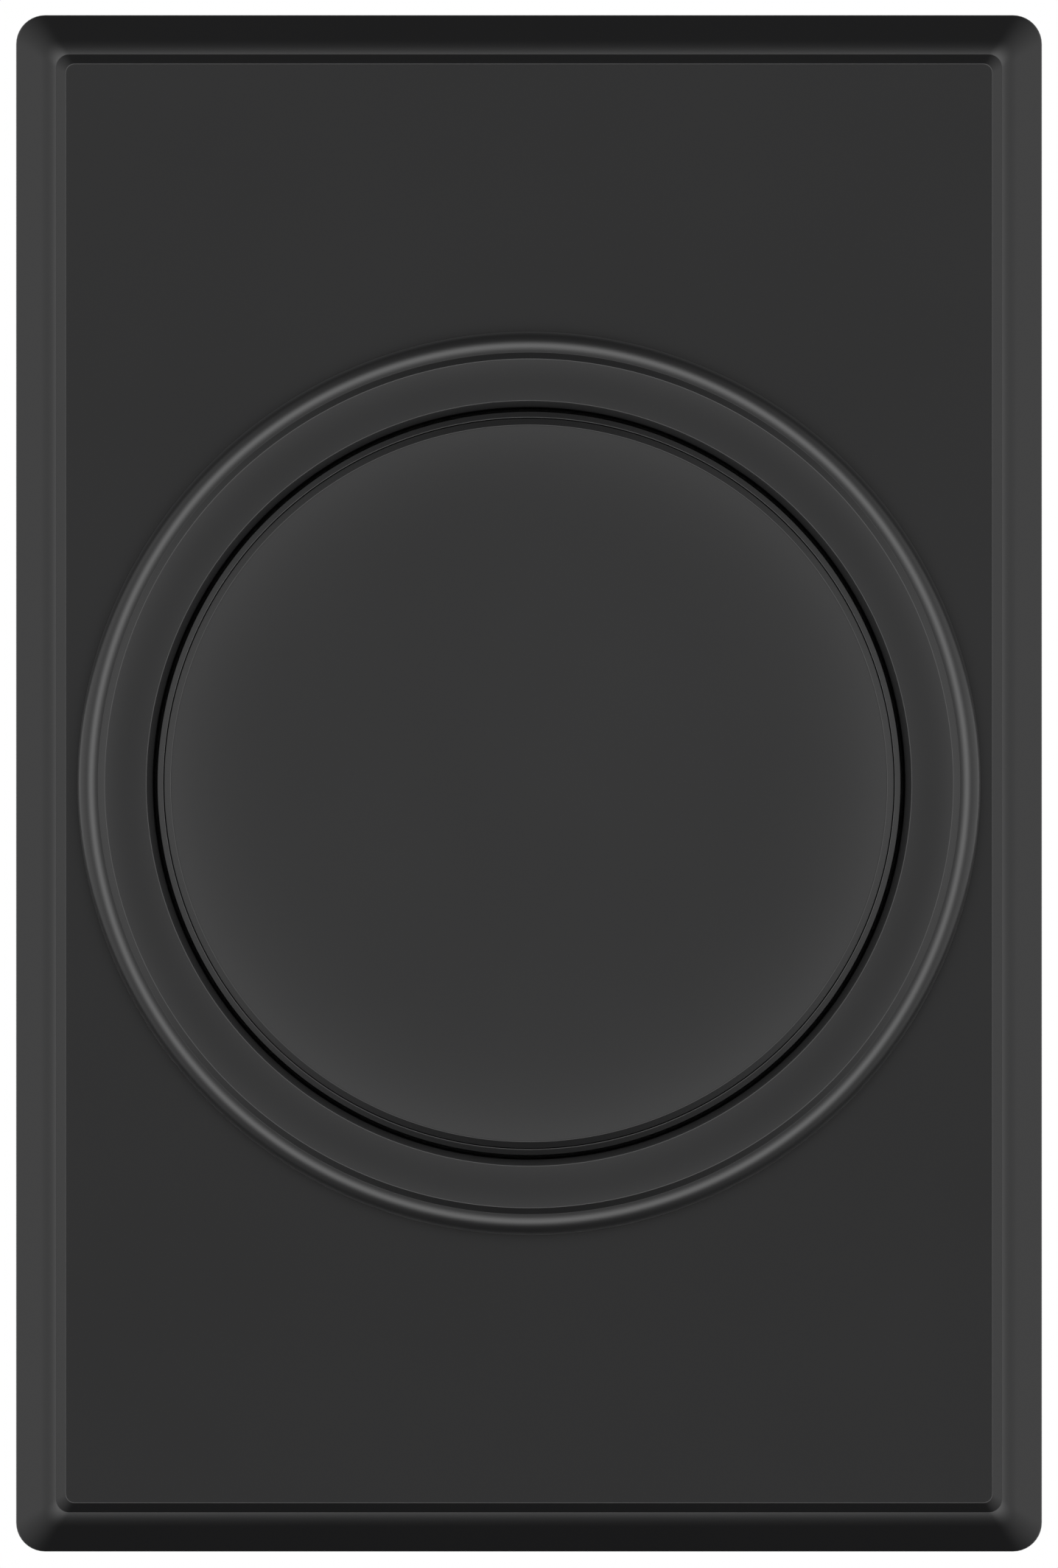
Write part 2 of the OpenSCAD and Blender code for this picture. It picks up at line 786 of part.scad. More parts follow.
module coin_cell() {
    color(steel) stand() rotate_extrude() polygon([
        [0, cell_z], [cell_r - cell_edge, cell_z], [cell_r, cell_z + cell_edge],
        [cell_r, cell_z + cell_t - cell_rim_t], [cell_r - cell_rim_w, cell_z + cell_t - cell_rim_t],
        [cell_r - cell_rim_w, cell_z + cell_t], [0, cell_z + cell_t]]);
}

module battery_clip() {
    strip_r = cell_r + battery_strip_gap;
    color(zinc) stand() translate([0, 0, cell_z]) rotate([0, 0, -battery_strip_angle / 2])
        rotate_extrude(angle = battery_strip_angle)
            translate([strip_r, 0]) square([battery_strip_t, board_z - cell_z]);
}

module battery_pad() {
    color(zinc) stand()
        slab(battery_pad_l, battery_pad_w, battery_strip_t, cell_z + cell_t, board_z);
}

module battery_cover() {
    color(black_plastic) stand() difference() {
        union() {
            disc(cover_r, cover_z, cover_z + cover_head_t);
            disc(well_r - cover_gap, cover_z, case_floor_z);
        }
        bar(cover_slot_l, -cover_slot_w / 2, cover_slot_w / 2,
            cover_z - past, cover_z + cover_slot_d);
    }
}

module battery_seal() {
    color(rubber_black) stand()
        ring(well_r + seal_slack, cover_r, cover_z + cover_head_t, cover_ledge_z);
}

module wall_plate() {
    color(zinc) stand() {
        difference() {
            union() {
                slab(bracket_w, bracket_h, bracket_corner_r, 0, bracket_t);
                bar(tab_w, -tab_y, -tab_y + tab_t, 0, case_back_z + tab_l);
                bar(hook_w, hook_neck_y, hook_neck_y + tab_t, 0, hook_z + tab_t);
                bar(hook_w, hook_neck_y, hook_neck_y + tab_t + hook_lip, hook_z, hook_z + tab_t);
            }
            for (s = [-1, 1])
                translate([0, s * wall_screw_spacing / 2, 0])
                    slot(slot_w, slot_l, -past, bracket_t + past);
            translate([0, -tab_y, lock_z]) rotate([-90, 0, 0])
                disc(lock_r + thread_gap, -past, tab_t + past);
        }
    }
}

module wall_gasket() {
    gasket_gap = 0.6;
    color(rubber_black) stand() difference() {
        slab(case_w, case_h, case_corner_r, 0, case_back_z);
        slab(bracket_w + 2 * gasket_gap, bracket_h + 2 * gasket_gap,
             bracket_corner_r + gasket_gap, -past, case_back_z + past);
    }
}

module lock_screw() {
    head_y = -plate_h / 2 + lock_head_sunk + lock_head_t;
    color(graphite) stand() translate([0, head_y, lock_z]) rotate([-90, 0, 0])
        screw(lock_r, -tab_y + tab_t + past - head_y, lock_head_r, lock_head_t);
}

faceplate();
bezel_ring();
bezel_gasket();
bezel_clip();
push_cap();
button_carrier();
cap_screws();
stop_ring();
return_springs();
guide_pins();
rear_case();
case_seal();
case_screws();
circuit_board();
board_screws();
switch_body();
switch_cover();
switch_plunger();
switch_spring();
controller_chip();
crystal_can();
antenna_coil();
board_passives();
coin_cell();
battery_clip();
battery_pad();
battery_cover();
battery_seal();
wall_plate();
wall_gasket();
lock_screw();
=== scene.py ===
import json
import math

import bmesh
import bpy
from mathutils import Matrix, Vector


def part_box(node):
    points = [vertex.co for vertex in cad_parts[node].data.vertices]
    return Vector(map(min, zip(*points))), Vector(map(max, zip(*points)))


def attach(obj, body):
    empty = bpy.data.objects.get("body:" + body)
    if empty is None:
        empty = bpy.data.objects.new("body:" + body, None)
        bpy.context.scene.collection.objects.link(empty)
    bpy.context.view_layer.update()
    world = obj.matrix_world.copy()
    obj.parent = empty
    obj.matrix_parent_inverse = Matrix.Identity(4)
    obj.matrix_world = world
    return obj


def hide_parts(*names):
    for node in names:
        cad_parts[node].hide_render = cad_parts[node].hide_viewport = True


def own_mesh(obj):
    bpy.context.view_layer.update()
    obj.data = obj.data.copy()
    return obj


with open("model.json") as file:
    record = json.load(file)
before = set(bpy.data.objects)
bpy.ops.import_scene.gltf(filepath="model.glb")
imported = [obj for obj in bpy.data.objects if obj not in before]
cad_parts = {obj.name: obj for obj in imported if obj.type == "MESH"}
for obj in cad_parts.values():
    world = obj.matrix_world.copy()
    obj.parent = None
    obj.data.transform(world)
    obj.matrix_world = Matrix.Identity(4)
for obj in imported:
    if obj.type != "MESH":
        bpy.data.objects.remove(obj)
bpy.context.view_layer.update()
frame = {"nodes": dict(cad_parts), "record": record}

bl_info = {
    "name": "Doorbell push",
    "version": (1, 0, 0),
    "blender": (4, 5, 0),
    "location": "View3D > Sidebar > Doorbell",
    "description": "Builds a wall-mounted doorbell push around its frame",
    "category": "Object",
}

MM = 0.001


def corners(node):
    """The two corners of a frame node's box, in millimetres."""
    return [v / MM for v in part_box(node)]


def heights(node):
    """Where a frame node starts and ends, in millimetres out from the wall."""
    low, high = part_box(node)
    return -high.y / MM, -low.y / MM


# Sizes of the doorbell, in millimetres. Heights are measured out from the wall.
PLATE_LOW, PLATE_HIGH = corners("faceplate")
PLATE_W = PLATE_HIGH.x - PLATE_LOW.x
PLATE_H = PLATE_HIGH.z - PLATE_LOW.z
FIELD = -PLATE_LOW.y
SKIRT_END = -PLATE_HIGH.y
SKIRT = 2.0
UNDERSIDE = FIELD - 2.0
BEZEL_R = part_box("bezel_ring")[1].x / MM
BORE_R = 23.17
SPIGOT_R = 24.67
SPIGOT_END = UNDERSIDE - 1.5
RIM = FIELD + 1.6
LAND = RIM + 0.4
BUTTON = heights("push_cap")[1]
BUTTON_R = 22.87
CAP_R = 22.45
CAP_BEVEL = 0.4
CAP_UNDER = BUTTON - 1.6
WEB_TOP = CAP_UNDER - 1.4
WEB = WEB_TOP - 1.0
BOARD_TOP = heights("circuit_board")[1]

# Circles on which pins and screws stand, with the angle of the first in degrees
PIN_CIRCLE, PIN_ANGLE = 16.0, 90
CAP_SCREW_CIRCLE, CAP_SCREW_ANGLE = 11.0, 30

# Edges that bend more than these degrees stay sharp. Pieces lie within FIT of their nodes.
SHARP_ANGLE = 38
FIT = 0.15


# ---- Meshes ----------------------------------------------------------------------------------

def stood(x, up, height):
    """A point drawn lying on the wall, in millimetres, as a place in the frame."""
    return Vector((x * MM, -height * MM, up * MM))


def arc(cx, cz, r, start, end, steps):
    """Points of an arc. Angle 0 points away from the wall and 90 outwards."""
    angles = [math.radians(start + (end - start) * i / steps) for i in range(steps + 1)]
    return [(cx + r * math.sin(a), cz + r * math.cos(a)) for a in angles]


def softened(points, radius, closed=True, steps=3):
    """The same outline with each sharp corner broken by a small round."""
    out = []
    count = len(points)
    for i, p in enumerate(points):
        if not closed and i in (0, count - 1):
            out.append(p)
            continue
        here = Vector(p)
        back = Vector(points[i - 1]) - here
        ahead = Vector(points[(i + 1) % count]) - here
        bend = math.pi - back.angle(ahead, math.pi)
        if bend < math.radians(14):
            out.append(p)
            continue
        reach = min(radius * math.tan(bend / 2), 0.4 * back.length, 0.4 * ahead.length)
        first = here + back.normalized() * reach
        last = here + ahead.normalized() * reach
        for k in range(steps + 1):
            t = k / steps
            q = first * (1 - t) ** 2 + here * 2 * t * (1 - t) + last * t * t
            out.append((q.x, q.y))
    return out


def supported(points, closed=True):
    """The same outline with an extra point near each end of a long flat, so that it shades flat."""
    out = []
    count = len(points)
    spans = count if closed else count - 1
    length = [(Vector(points[(i + 1) % count]) - Vector(points[i])).length for i in range(count)]
    for i in range(count):
        out.append(points[i])
        if i >= spans:
            continue
        here, there = Vector(points[i]), Vector(points[(i + 1) % count])
        run = (there - here).normalized()
        before = length[i - 1] if closed or i > 0 else length[i]
        after = length[(i + 1) % count] if closed or i < spans - 1 else length[i]
        if before < length[i] / 3:
            q = here + run * min(0.05, length[i] / 4)
            out.append((q.x, q.y))
        if after < length[i] / 3:
            q = there - run * min(0.05, length[i] / 4)
            out.append((q.x, q.y))
    return out


def placed(name, data):
    """A new object in the scene."""
    obj = bpy.data.objects.new(name, data)
    bpy.context.scene.collection.objects.link(obj)
    return obj


def marked(bm, sharp_angle=SHARP_ANGLE):
    """Shades a bmesh smooth, apart from its sharp edges."""
    for face in bm.faces:
        face.smooth = True
    for edge in bm.edges:
        edge.smooth = edge.calc_face_angle(0) < math.radians(sharp_angle)


def finished_mesh(bm, name, sharp_angle=SHARP_ANGLE):
    """Turns a bmesh into an object with its faces outwards and its sharp edges marked."""
    bmesh.ops.remove_doubles(bm, verts=bm.verts, dist=1e-7)
    bmesh.ops.recalc_face_normals(bm, faces=bm.faces)
    marked(bm, sharp_angle)
    mesh = bpy.data.meshes.new(name)
    bm.to_mesh(mesh)
    bm.free()
    return placed(name, mesh)


def turned(name, rings, segments, place=stood, centre=(0, 0), sharp_angle=SHARP_ANGLE):
    """A body of revolution from rings of (radius or function of the angle, height)."""
    bm = bmesh.new()
    rows = []
    for radius, height in rings:
        if not callable(radius) and radius < 1e-6:
            rows.append([bm.verts.new(place(centre[0], centre[1], height))])
            continue
        row = []
        for k in range(segments):
            a = 2 * math.pi * k / segments
            r = radius(a) if callable(radius) else radius
            row.append(bm.verts.new(place(centre[0] + r * math.cos(a),
                                          centre[1] + r * math.sin(a), height)))
        rows.append(row)
    for low, high in zip(rows, rows[1:]):
        for k in range(segments):
            n = (k + 1) % segments
            if len(low) == 1:
                bm.faces.new((low[0], high[k], high[n]))
            elif len(high) == 1:
                bm.faces.new((low[k], low[n], high[0]))
            else:
                bm.faces.new((low[k], low[n], high[n], high[k]))
    return finished_mesh(bm, name, sharp_angle)


def plug(rings, centre=(0, 0), segments=32, place=stood):
    """A body of revolution to join or to cut, closed on its axis at both ends."""
    rings = [(0, rings[0][1])] + rings + [(0, rings[-1][1])]
    return turned("plug", rings, segments, place=place, centre=centre)


def three(radius, first):
    """Three points evenly round a circle, from a first angle in degrees."""
    angles = [math.radians(first + 120 * k) for k in range(3)]
    return [(radius * math.cos(a), radius * math.sin(a)) for a in angles]


def boolean(obj, cutters, operation):
    """Joins to or cuts from an object each of the other objects, which are used up."""
    for cutter in cutters:
        modifier = obj.modifiers.new("Cut", "BOOLEAN")
        modifier.operation = operation
        modifier.solver = "EXACT"
        modifier.object = cutter
    applied(obj)
    for cutter in cutters:
        bpy.data.objects.remove(cutter)
    bm = bmesh.new()
    bm.from_mesh(obj.data)
    marked(bm)
    bm.to_mesh(obj.data)
    bm.free()


def applied(obj):
    """Turns an object's modifiers into its mesh."""
    graph = bpy.context.evaluated_depsgraph_get()
    mesh = bpy.data.meshes.new_from_object(obj.evaluated_get(graph), depsgraph=graph)
    obj.modifiers.clear()
    obj.data = mesh


def rounded_loop(width, height, radius, steps=10):
    """Points round a rectangle with round corners."""
    points = []
    for turn, (sx, sy) in enumerate([(1, 1), (-1, 1), (-1, -1), (1, -1)]):
        for k in range(steps + 1):
            a = math.radians(90 * turn + 90 * k / steps)
            points.append((sx * (width / 2 - radius) + radius * math.cos(a),
                           sy * (height / 2 - radius) + radius * math.sin(a)))
    return points


def refined(node, name, bevel):
    """A cleaned copy of a frame node with its edges broken by a small bevel."""
    bm = bmesh.new()
    bm.from_mesh(frame["nodes"][node].data)
    bmesh.ops.remove_doubles(bm, verts=bm.verts, dist=1e-6)
    bmesh.ops.dissolve_limit(bm, angle_limit=math.radians(0.5), verts=bm.verts, edges=bm.edges)
    obj = finished_mesh(bm, name)
    modifier = obj.modifiers.new("Edges", "BEVEL")
    modifier.width = bevel * MM
    modifier.segments = 2
    modifier.limit_method = "ANGLE"
    modifier.angle_limit = math.radians(40)
    modifier.use_clamp_overlap = True
    applied(obj)
    obj.data.polygons.foreach_set("use_smooth", [True] * len(obj.data.polygons))
    return obj


def fits(obj, node):
    """Stops the script if a piece doesn't lie where its frame node does."""
    corners = [v.co for v in obj.data.vertices]
    for axis in range(3):
        low, high = min(c[axis] for c in corners), max(c[axis] for c in corners)
        node_low, node_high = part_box(node)[0][axis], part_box(node)[1][axis]
        if max(abs(low - node_low), abs(high - node_high)) > FIT * MM:
            raise RuntimeError(f"{obj.name} spans {low:.5f} to {high:.5f} on axis {axis}, but "
                               f"{node} spans {node_low:.5f} to {node_high:.5f}")


def piece(obj, body, node, material):
    """Hands a finished piece to the frame."""
    fits(obj, node)
    obj.data.materials.clear()
    obj.data.materials.append(material)
    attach(obj, body)
    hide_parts(node)


# ---- Geometry Nodes --------------------------------------------------------------------------

SOCKETS = {"size": "NodeSocketFloat", "count": "NodeSocketInt", "object": "NodeSocketObject",
           "material": "NodeSocketMaterial"}
ARRAYS = {"ring": [("Circle Radius", "size"), ("First Angle", "size"), ("Count", "count")],
          "corners": [("Width", "size"), ("Height", "size")],
          "row": [("Pitch", "size"), ("Start", "size"), ("Up", "size"), ("Count", "count")]}


def wired(tree, kind, inputs):
    """A new node, with each of these inputs set to a value or linked to a socket."""
    node = tree.nodes.new(kind)
    for label, value in inputs.items():
        if hasattr(value, "is_output"):
            tree.links.new(value, node.inputs[label])
        else:
            node.inputs[label].default_value = value
    return node


def geometry_tree(name, inputs):
    """A new Geometry Nodes tree with named inputs, and each input's identifier."""
    tree = bpy.data.node_groups.new(name, "GeometryNodeTree")
    for side in ("INPUT", "OUTPUT"):
        tree.interface.new_socket(name="Geometry", in_out=side, socket_type="NodeSocketGeometry")
    ids = {}
    for label, kind in inputs + [("Finish", "material")]:
        socket = tree.interface.new_socket(name=label, in_out="INPUT", socket_type=SOCKETS[kind])
        ids[label] = socket.identifier
    return tree, ids, tree.nodes.new("NodeGroupInput").outputs


def close_tree(tree, given, geometry, stand=True):
    """Ends a tree: stand it up on the wall, realize its instances and set its material."""
    if stand:
        geometry = wired(tree, "GeometryNodeTransform", {
            "Geometry": geometry, "Rotation": (math.pi / 2, 0, 0)}).outputs["Geometry"]
    real = wired(tree, "GeometryNodeRealizeInstances", {"Geometry": geometry})
    paint = wired(tree, "GeometryNodeSetMaterial", {
        "Geometry": real.outputs["Geometry"], "Material": given["Finish"]})
    wired(tree, "NodeGroupOutput", {"Geometry": paint.outputs["Geometry"]})


def grown(name, tree, ids, values, mesh=None):
    """Runs a tree on a new object and keeps the result as a plain mesh."""
    obj = placed(name, mesh or bpy.data.meshes.new(name))
    modifier = obj.modifiers.new("Build", "NODES")
    modifier.node_group = tree
    for label, value in values.items():
        modifier[ids[label]] = value
    applied(obj)
    if not obj.data.polygons:
        raise RuntimeError(f"{name} came out empty")
    return obj


def array_tree(kind):
    """Copies of a part round a circle, at four corners or along a row."""
    tree, ids, given = geometry_tree("Copies " + kind, [("Part", "object")] + ARRAYS[kind])
    if kind == "ring":
        circle = wired(tree, "GeometryNodeMeshCircle", {
            "Vertices": given["Count"], "Radius": given["Circle Radius"]})
        angle = wired(tree, "ShaderNodeCombineXYZ", {"Z": given["First Angle"]})
        points = wired(tree, "GeometryNodeTransform", {
            "Geometry": circle.outputs["Mesh"], "Rotation": angle.outputs["Vector"]})
    elif kind == "corners":
        points = wired(tree, "GeometryNodeMeshGrid", {
            "Vertices X": 2, "Vertices Y": 2, "Size X": given["Width"], "Size Y": given["Height"]})
    else:
        first = wired(tree, "ShaderNodeCombineXYZ", {"X": given["Start"], "Y": given["Up"]})
        step = wired(tree, "ShaderNodeCombineXYZ", {"X": given["Pitch"]})
        points = wired(tree, "GeometryNodeMeshLine", {
            "Count": given["Count"], "Start Location": first.outputs["Vector"],
            "Offset": step.outputs["Vector"]})
    part = wired(tree, "GeometryNodeObjectInfo", {"Object": given["Part"]})
    place = wired(tree, "GeometryNodeInstanceOnPoints", {
        "Points": points.outputs[0], "Instance": part.outputs["Geometry"]})
    close_tree(tree, given, place.outputs["Instances"])
    return tree, ids


def close_sweep(tree, given, path, profile, caps, stand):
    """Ends a tree with a profile swept along a path."""
    sweep = wired(tree, "GeometryNodeCurveToMesh", {
        "Curve": path.outputs["Curve"], "Profile Curve": profile.outputs["Curve"],
        "Fill Caps": caps})
    smooth = wired(tree, "GeometryNodeSetShadeSmooth", {"Geometry": sweep.outputs["Mesh"]})
    close_tree(tree, given, smooth.outputs["Geometry"], stand)


def spring_tree():
    """Round wire wound into a coil that grows along Z."""
    tree, ids, given = geometry_tree("Wound wire", [
        ("Coil Radius", "size"), ("Wire Radius", "size"), ("Length", "size"), ("Turns", "size")])
    path = wired(tree, "GeometryNodeCurveSpiral", {
        "Resolution": 32, "Start Radius": given["Coil Radius"], "End Radius": given["Coil Radius"],
        "Height": given["Length"], "Rotations": given["Turns"]})
    wire = wired(tree, "GeometryNodeCurvePrimitiveCircle", {
        "Resolution": 12, "Radius": given["Wire Radius"]})
    close_sweep(tree, given, path, wire, caps=True, stand=False)
    return tree, ids


def ring_tree():
    """A moulding, given as a closed outline, swept round a bore."""
    tree, ids, given = geometry_tree("Swept moulding", [
        ("Bore Radius", "size"), ("Segments", "count")])
    path = wired(tree, "GeometryNodeCurvePrimitiveCircle", {
        "Radius": given["Bore Radius"], "Resolution": given["Segments"]})
    outline = wired(tree, "GeometryNodeMeshToCurve", {"Mesh": given["Geometry"]})
    close_sweep(tree, given, path, outline, caps=False, stand=True)
    return tree, ids


def copies(name, kind, part, values, material):
    """An array of a part as one plain mesh. The part itself is used up."""
    tree, ids = array_tree(kind)
    obj = grown(name, tree, ids, {"Part": part, "Finish": material, **values})
    bpy.data.objects.remove(part)
    return obj


def round_circle(radius, first):
    """The values that set three copies round a circle."""
    return {"Circle Radius": radius * MM, "First Angle": math.radians(first), "Count": 3}


def lying(x, y, z):
    """A point drawn in millimetres and left lying on the wall's plane."""
    return Vector((x * MM, y * MM, z * MM))


def screw(name, r, length, head_r, head_t, base=0.0, flip=1, place=lying):
    """A pan-head screw with a hexagon socket and a cut thread, its head's underside at base."""
    hexagon, depth, rounding = 0.78, 0.6, 0.4
    pitch, slice_height, unthreaded = 0.45, 0.075, 1.0

    def socket(grow):
        return lambda a: (hexagon + grow) / math.cos((a % (math.pi / 3)) - math.pi / 6)

    def thread(z, cut):
        return lambda a: r - cut * abs(2 * ((z / pitch - a / (2 * math.pi)) % 1.0) - 1)

    top = -head_t
    rings = [(0, top + depth), (socket(-0.02), top + depth), (socket(0), top + depth - 0.03),
             (socket(0), top + 0.08), (socket(0.06), top + 0.01), (socket(0.1), top),
             (head_r - 0.45, top)]
    rings += [(p[0], -p[1])
              for p in arc(head_r - rounding, head_t - rounding, rounding, 0, 90, 6)]
    rings += [(head_r, -0.06), (head_r - 0.04, 0), (r * 0.97, 0), (r * 0.97, 0.4)]
    steps = int((length - unthreaded) / slice_height)
    for k in range(steps + 1):
        z = 0.45 + (length - unthreaded) * k / steps
        fade = min(1.0, k / 6, (steps - k) / 6)
        rings.append((thread(z, 0.03 * r + 0.15 * r * fade), z))
    rings += [(r * 0.7, length - 0.1), (r * 0.6, length), (0, length)]
    rings = [(radius, base + flip * z) for radius, z in rings]
    return turned(name, rings, 48, place=place, sharp_angle=50)


# ---- Shader groups ---------------------------------------------------------------------------

def shader_group(name, inputs, outputs):
    """A new shader node group with named value inputs and outputs."""
    tree = bpy.data.node_groups.new(name, "ShaderNodeTree")
    for label, value in inputs:
        tree.interface.new_socket(
            name=label, in_out="INPUT", socket_type="NodeSocketFloat").default_value = value
    for label in outputs:
        tree.interface.new_socket(name=label, in_out="OUTPUT", socket_type="NodeSocketFloat")
    return tree, tree.nodes.new("NodeGroupInput").outputs


def maths(tree, operation, first, second=None):
    """A Math node on one or two values or sockets."""
    node = wired(tree, "ShaderNodeMath", {0: first} if second is None else {0: first, 1: second})
    node.operation = operation
    return node.outputs[0]


def ranged(tree, value, low, high, to_low, to_high):
    """A value moved from one range to another and kept inside it."""
    node = wired(tree, "ShaderNodeMapRange", {
        "Value": value, "From Min": low, "From Max": high, "To Min": to_low, "To Max": to_high})
    return node.outputs["Result"]


def object_place(tree):
    """Where a point lies in its piece."""
    return tree.nodes.new("ShaderNodeTexCoord").outputs["Object"]


def object_axis(tree, axis):
    """Where a point lies along one axis of its piece."""
    return wired(tree, "ShaderNodeSeparateXYZ", {0: object_place(tree)}).outputs[axis]


def noise(tree, scale, detail=3.0, stretch=None):
    """Noise on the object's own coordinates."""
    where = object_place(tree)
    if stretch:
        where = wired(tree, "ShaderNodeMapping", {
            "Vector": where, "Scale": stretch}).outputs["Vector"]
    return wired(tree, "ShaderNodeTexNoise", {
        "Vector": where, "Scale": scale, "Detail": detail}).outputs["Fac"]


def grain_group():
    """Fine surface grain: a height for bump and a slow mottling."""
    tree, given = shader_group("Surface grain", [("Scale", 3000.0), ("Mottle Scale", 60.0)],
                               ["Height", "Mottle"])
    slow = noise(tree, given["Mottle Scale"])
    wired(tree, "NodeGroupOutput", {"Height": noise(tree, given["Scale"], 4.0),
                                    "Mottle": ranged(tree, slow, 0.3, 0.7, 0.0, 1.0)})
    return tree


def wear_group():
    """Edge wear: a mask that is high along worn outer edges."""
    tree, given = shader_group("Edge wear", [("Amount", 0.3), ("Breakup Scale", 500.0)], ["Mask"])
    edge = tree.nodes.new("ShaderNodeNewGeometry").outputs["Pointiness"]
    broken = noise(tree, given["Breakup Scale"], 4.0)
    mask = maths(tree, "MULTIPLY", ranged(tree, edge, 0.53, 0.62, 0.0, 1.0),
                 ranged(tree, broken, 0.42, 0.62, 0.0, 1.0))
    wired(tree, "NodeGroupOutput", {"Mask": maths(tree, "MULTIPLY", mask, given["Amount"])})
    return tree


def dust_group():
    """Dust: a mask that is highest on faces that look up."""
    tree, given = shader_group("Settled dust", [("Amount", 0.1), ("Scale", 900.0)], ["Mask"])
    normal = tree.nodes.new("ShaderNodeNewGeometry").outputs["Normal"]
    up = wired(tree, "ShaderNodeSeparateXYZ", {0: normal}).outputs["Z"]
    specks = noise(tree, given["Scale"], 5.0)
    mask = maths(tree, "MULTIPLY", ranged(tree, up, 0.2, 1.0, 0.15, 1.0),
                 ranged(tree, specks, 0.5, 0.7, 0.0, 1.0))
    wired(tree, "NodeGroupOutput", {"Mask": maths(tree, "MULTIPLY", mask, given["Amount"])})
    return tree


GROUPS = {}


def group(material_tree, label, values):
    """One shared shader group placed in a material with its own values."""
    if not GROUPS:
        GROUPS.update({"grain": grain_group(), "wear": wear_group(), "dust": dust_group()})
    node = material_tree.nodes.new("ShaderNodeGroup")
    node.node_tree = GROUPS[label]
    for name, value in values.items():
        node.inputs[name].default_value = value
    return node.outputs


def blended(tree, factor, first, second):
    """A colour mix. Each colour is a socket or a plain colour."""
    node = tree.nodes.new("ShaderNodeMix")
    node.data_type = "RGBA"
    tree.links.new(factor, node.inputs[0])
    for socket, colour in zip([s for s in node.inputs if s.type == "RGBA"], (first, second)):
        if hasattr(colour, "is_output"):
            tree.links.new(colour, socket)
        else:
            socket.default_value = (*colour[:3], 1.0)
    return [s for s in node.outputs if s.type == "RGBA"][0]


MOTTLE_SCALE, BREAKUP_SCALE, DUST_SCALE, STREAK_SCALE = 60.0, 600.0, 1100.0, 900.0
DUST_COLOUR, DUST_ROUGHNESS = (0.35, 0.33, 0.3), 0.3
RELIEF = 0.6


def finish(name, colour, roughness, metallic=0.0, grain=3000.0, bump=0.000004, mottle=0.15,
           spread=0.05, wear=0.0, bare=(0.4, 0.4, 0.42), dust=0.05, streaks=None, pattern=None):
    """A surface finish. A pattern returns a mask, a second colour and its metalness."""
    if name in bpy.data.materials:
        return bpy.data.materials[name]
    material = bpy.data.materials.new(name)
    material.use_nodes = True
    tree = material.node_tree
    shader = tree.nodes["Principled BSDF"]
    surface = group(tree, "grain", {"Scale": grain, "Mottle Scale": MOTTLE_SCALE})
    lighter = [min(1.0, c * (1 + mottle)) for c in colour[:3]]
    base = blended(tree, surface["Mottle"], colour, lighter)
    metal = None
    if pattern:
        mask, other, other_metal = pattern(tree)
        base = blended(tree, mask, base, other)
        if other_metal != metallic:
            metal = ranged(tree, mask, 0.0, 1.0, metallic, other_metal)
    rough = ranged(tree, surface["Mottle"], 0.0, 1.0, roughness - spread, roughness + spread)
    if wear:
        worn = group(tree, "wear", {"Amount": wear, "Breakup Scale": BREAKUP_SCALE})["Mask"]
        base = blended(tree, worn, base, bare)
        if metallic < 1:
            metal = maths(tree, "MAXIMUM", worn, metal if metal is not None else metallic)
    if dust:
        fallen = group(tree, "dust", {"Amount": dust, "Scale": DUST_SCALE})["Mask"]
        base = blended(tree, fallen, base, DUST_COLOUR)
        rough = maths(tree, "ADD", rough, maths(tree, "MULTIPLY", fallen, DUST_ROUGHNESS))
    tree.links.new(base, shader.inputs["Base Color"])
    tree.links.new(rough, shader.inputs["Roughness"])
    if metal is None:
        shader.inputs["Metallic"].default_value = metallic
    else:
        tree.links.new(metal, shader.inputs["Metallic"])
    height = noise(tree, STREAK_SCALE, 3.0, streaks) if streaks else surface["Height"]
    relief = wired(tree, "ShaderNodeBump", {
        "Strength": RELIEF, "Distance": bump, "Height": height})
    tree.links.new(relief.outputs["Normal"], shader.inputs["Normal"])
    return material


def beyond(centre, half, axis):
    """A pattern that is on past a distance from a line across the piece, as on tinned ends."""
    def pattern(tree):
        away = maths(tree, "SUBTRACT", object_axis(tree, axis), centre * MM)
        mask = maths(tree, "GREATER_THAN", maths(tree, "ABSOLUTE", away), half * MM)
        return mask, (0.62, 0.62, 0.6), 1.0
    return pattern


def tracks(tree):
    """Copper tracks that show as lighter lines under the solder mask."""
    cells = wired(tree, "ShaderNodeTexVoronoi", {"Vector": object_place(tree), "Scale": 260.0})
    cells.distance = "MANHATTAN"
    fold = maths(tree, "PINGPONG", cells.outputs["Distance"], 0.12)
    return ranged(tree, fold, 0.085, 0.1, 0.0, 0.55), (0.05, 0.3, 0.14), 0.0


def spangle(tree):
    """The faint crystal pattern of zinc plate."""
    cells = wired(tree, "ShaderNodeTexVoronoi", {"Vector": object_place(tree), "Scale": 420.0})
    return ranged(tree, cells.outputs["Color"], 0.2, 0.9, 0.0, 0.35), (0.74, 0.74, 0.72), 1.0


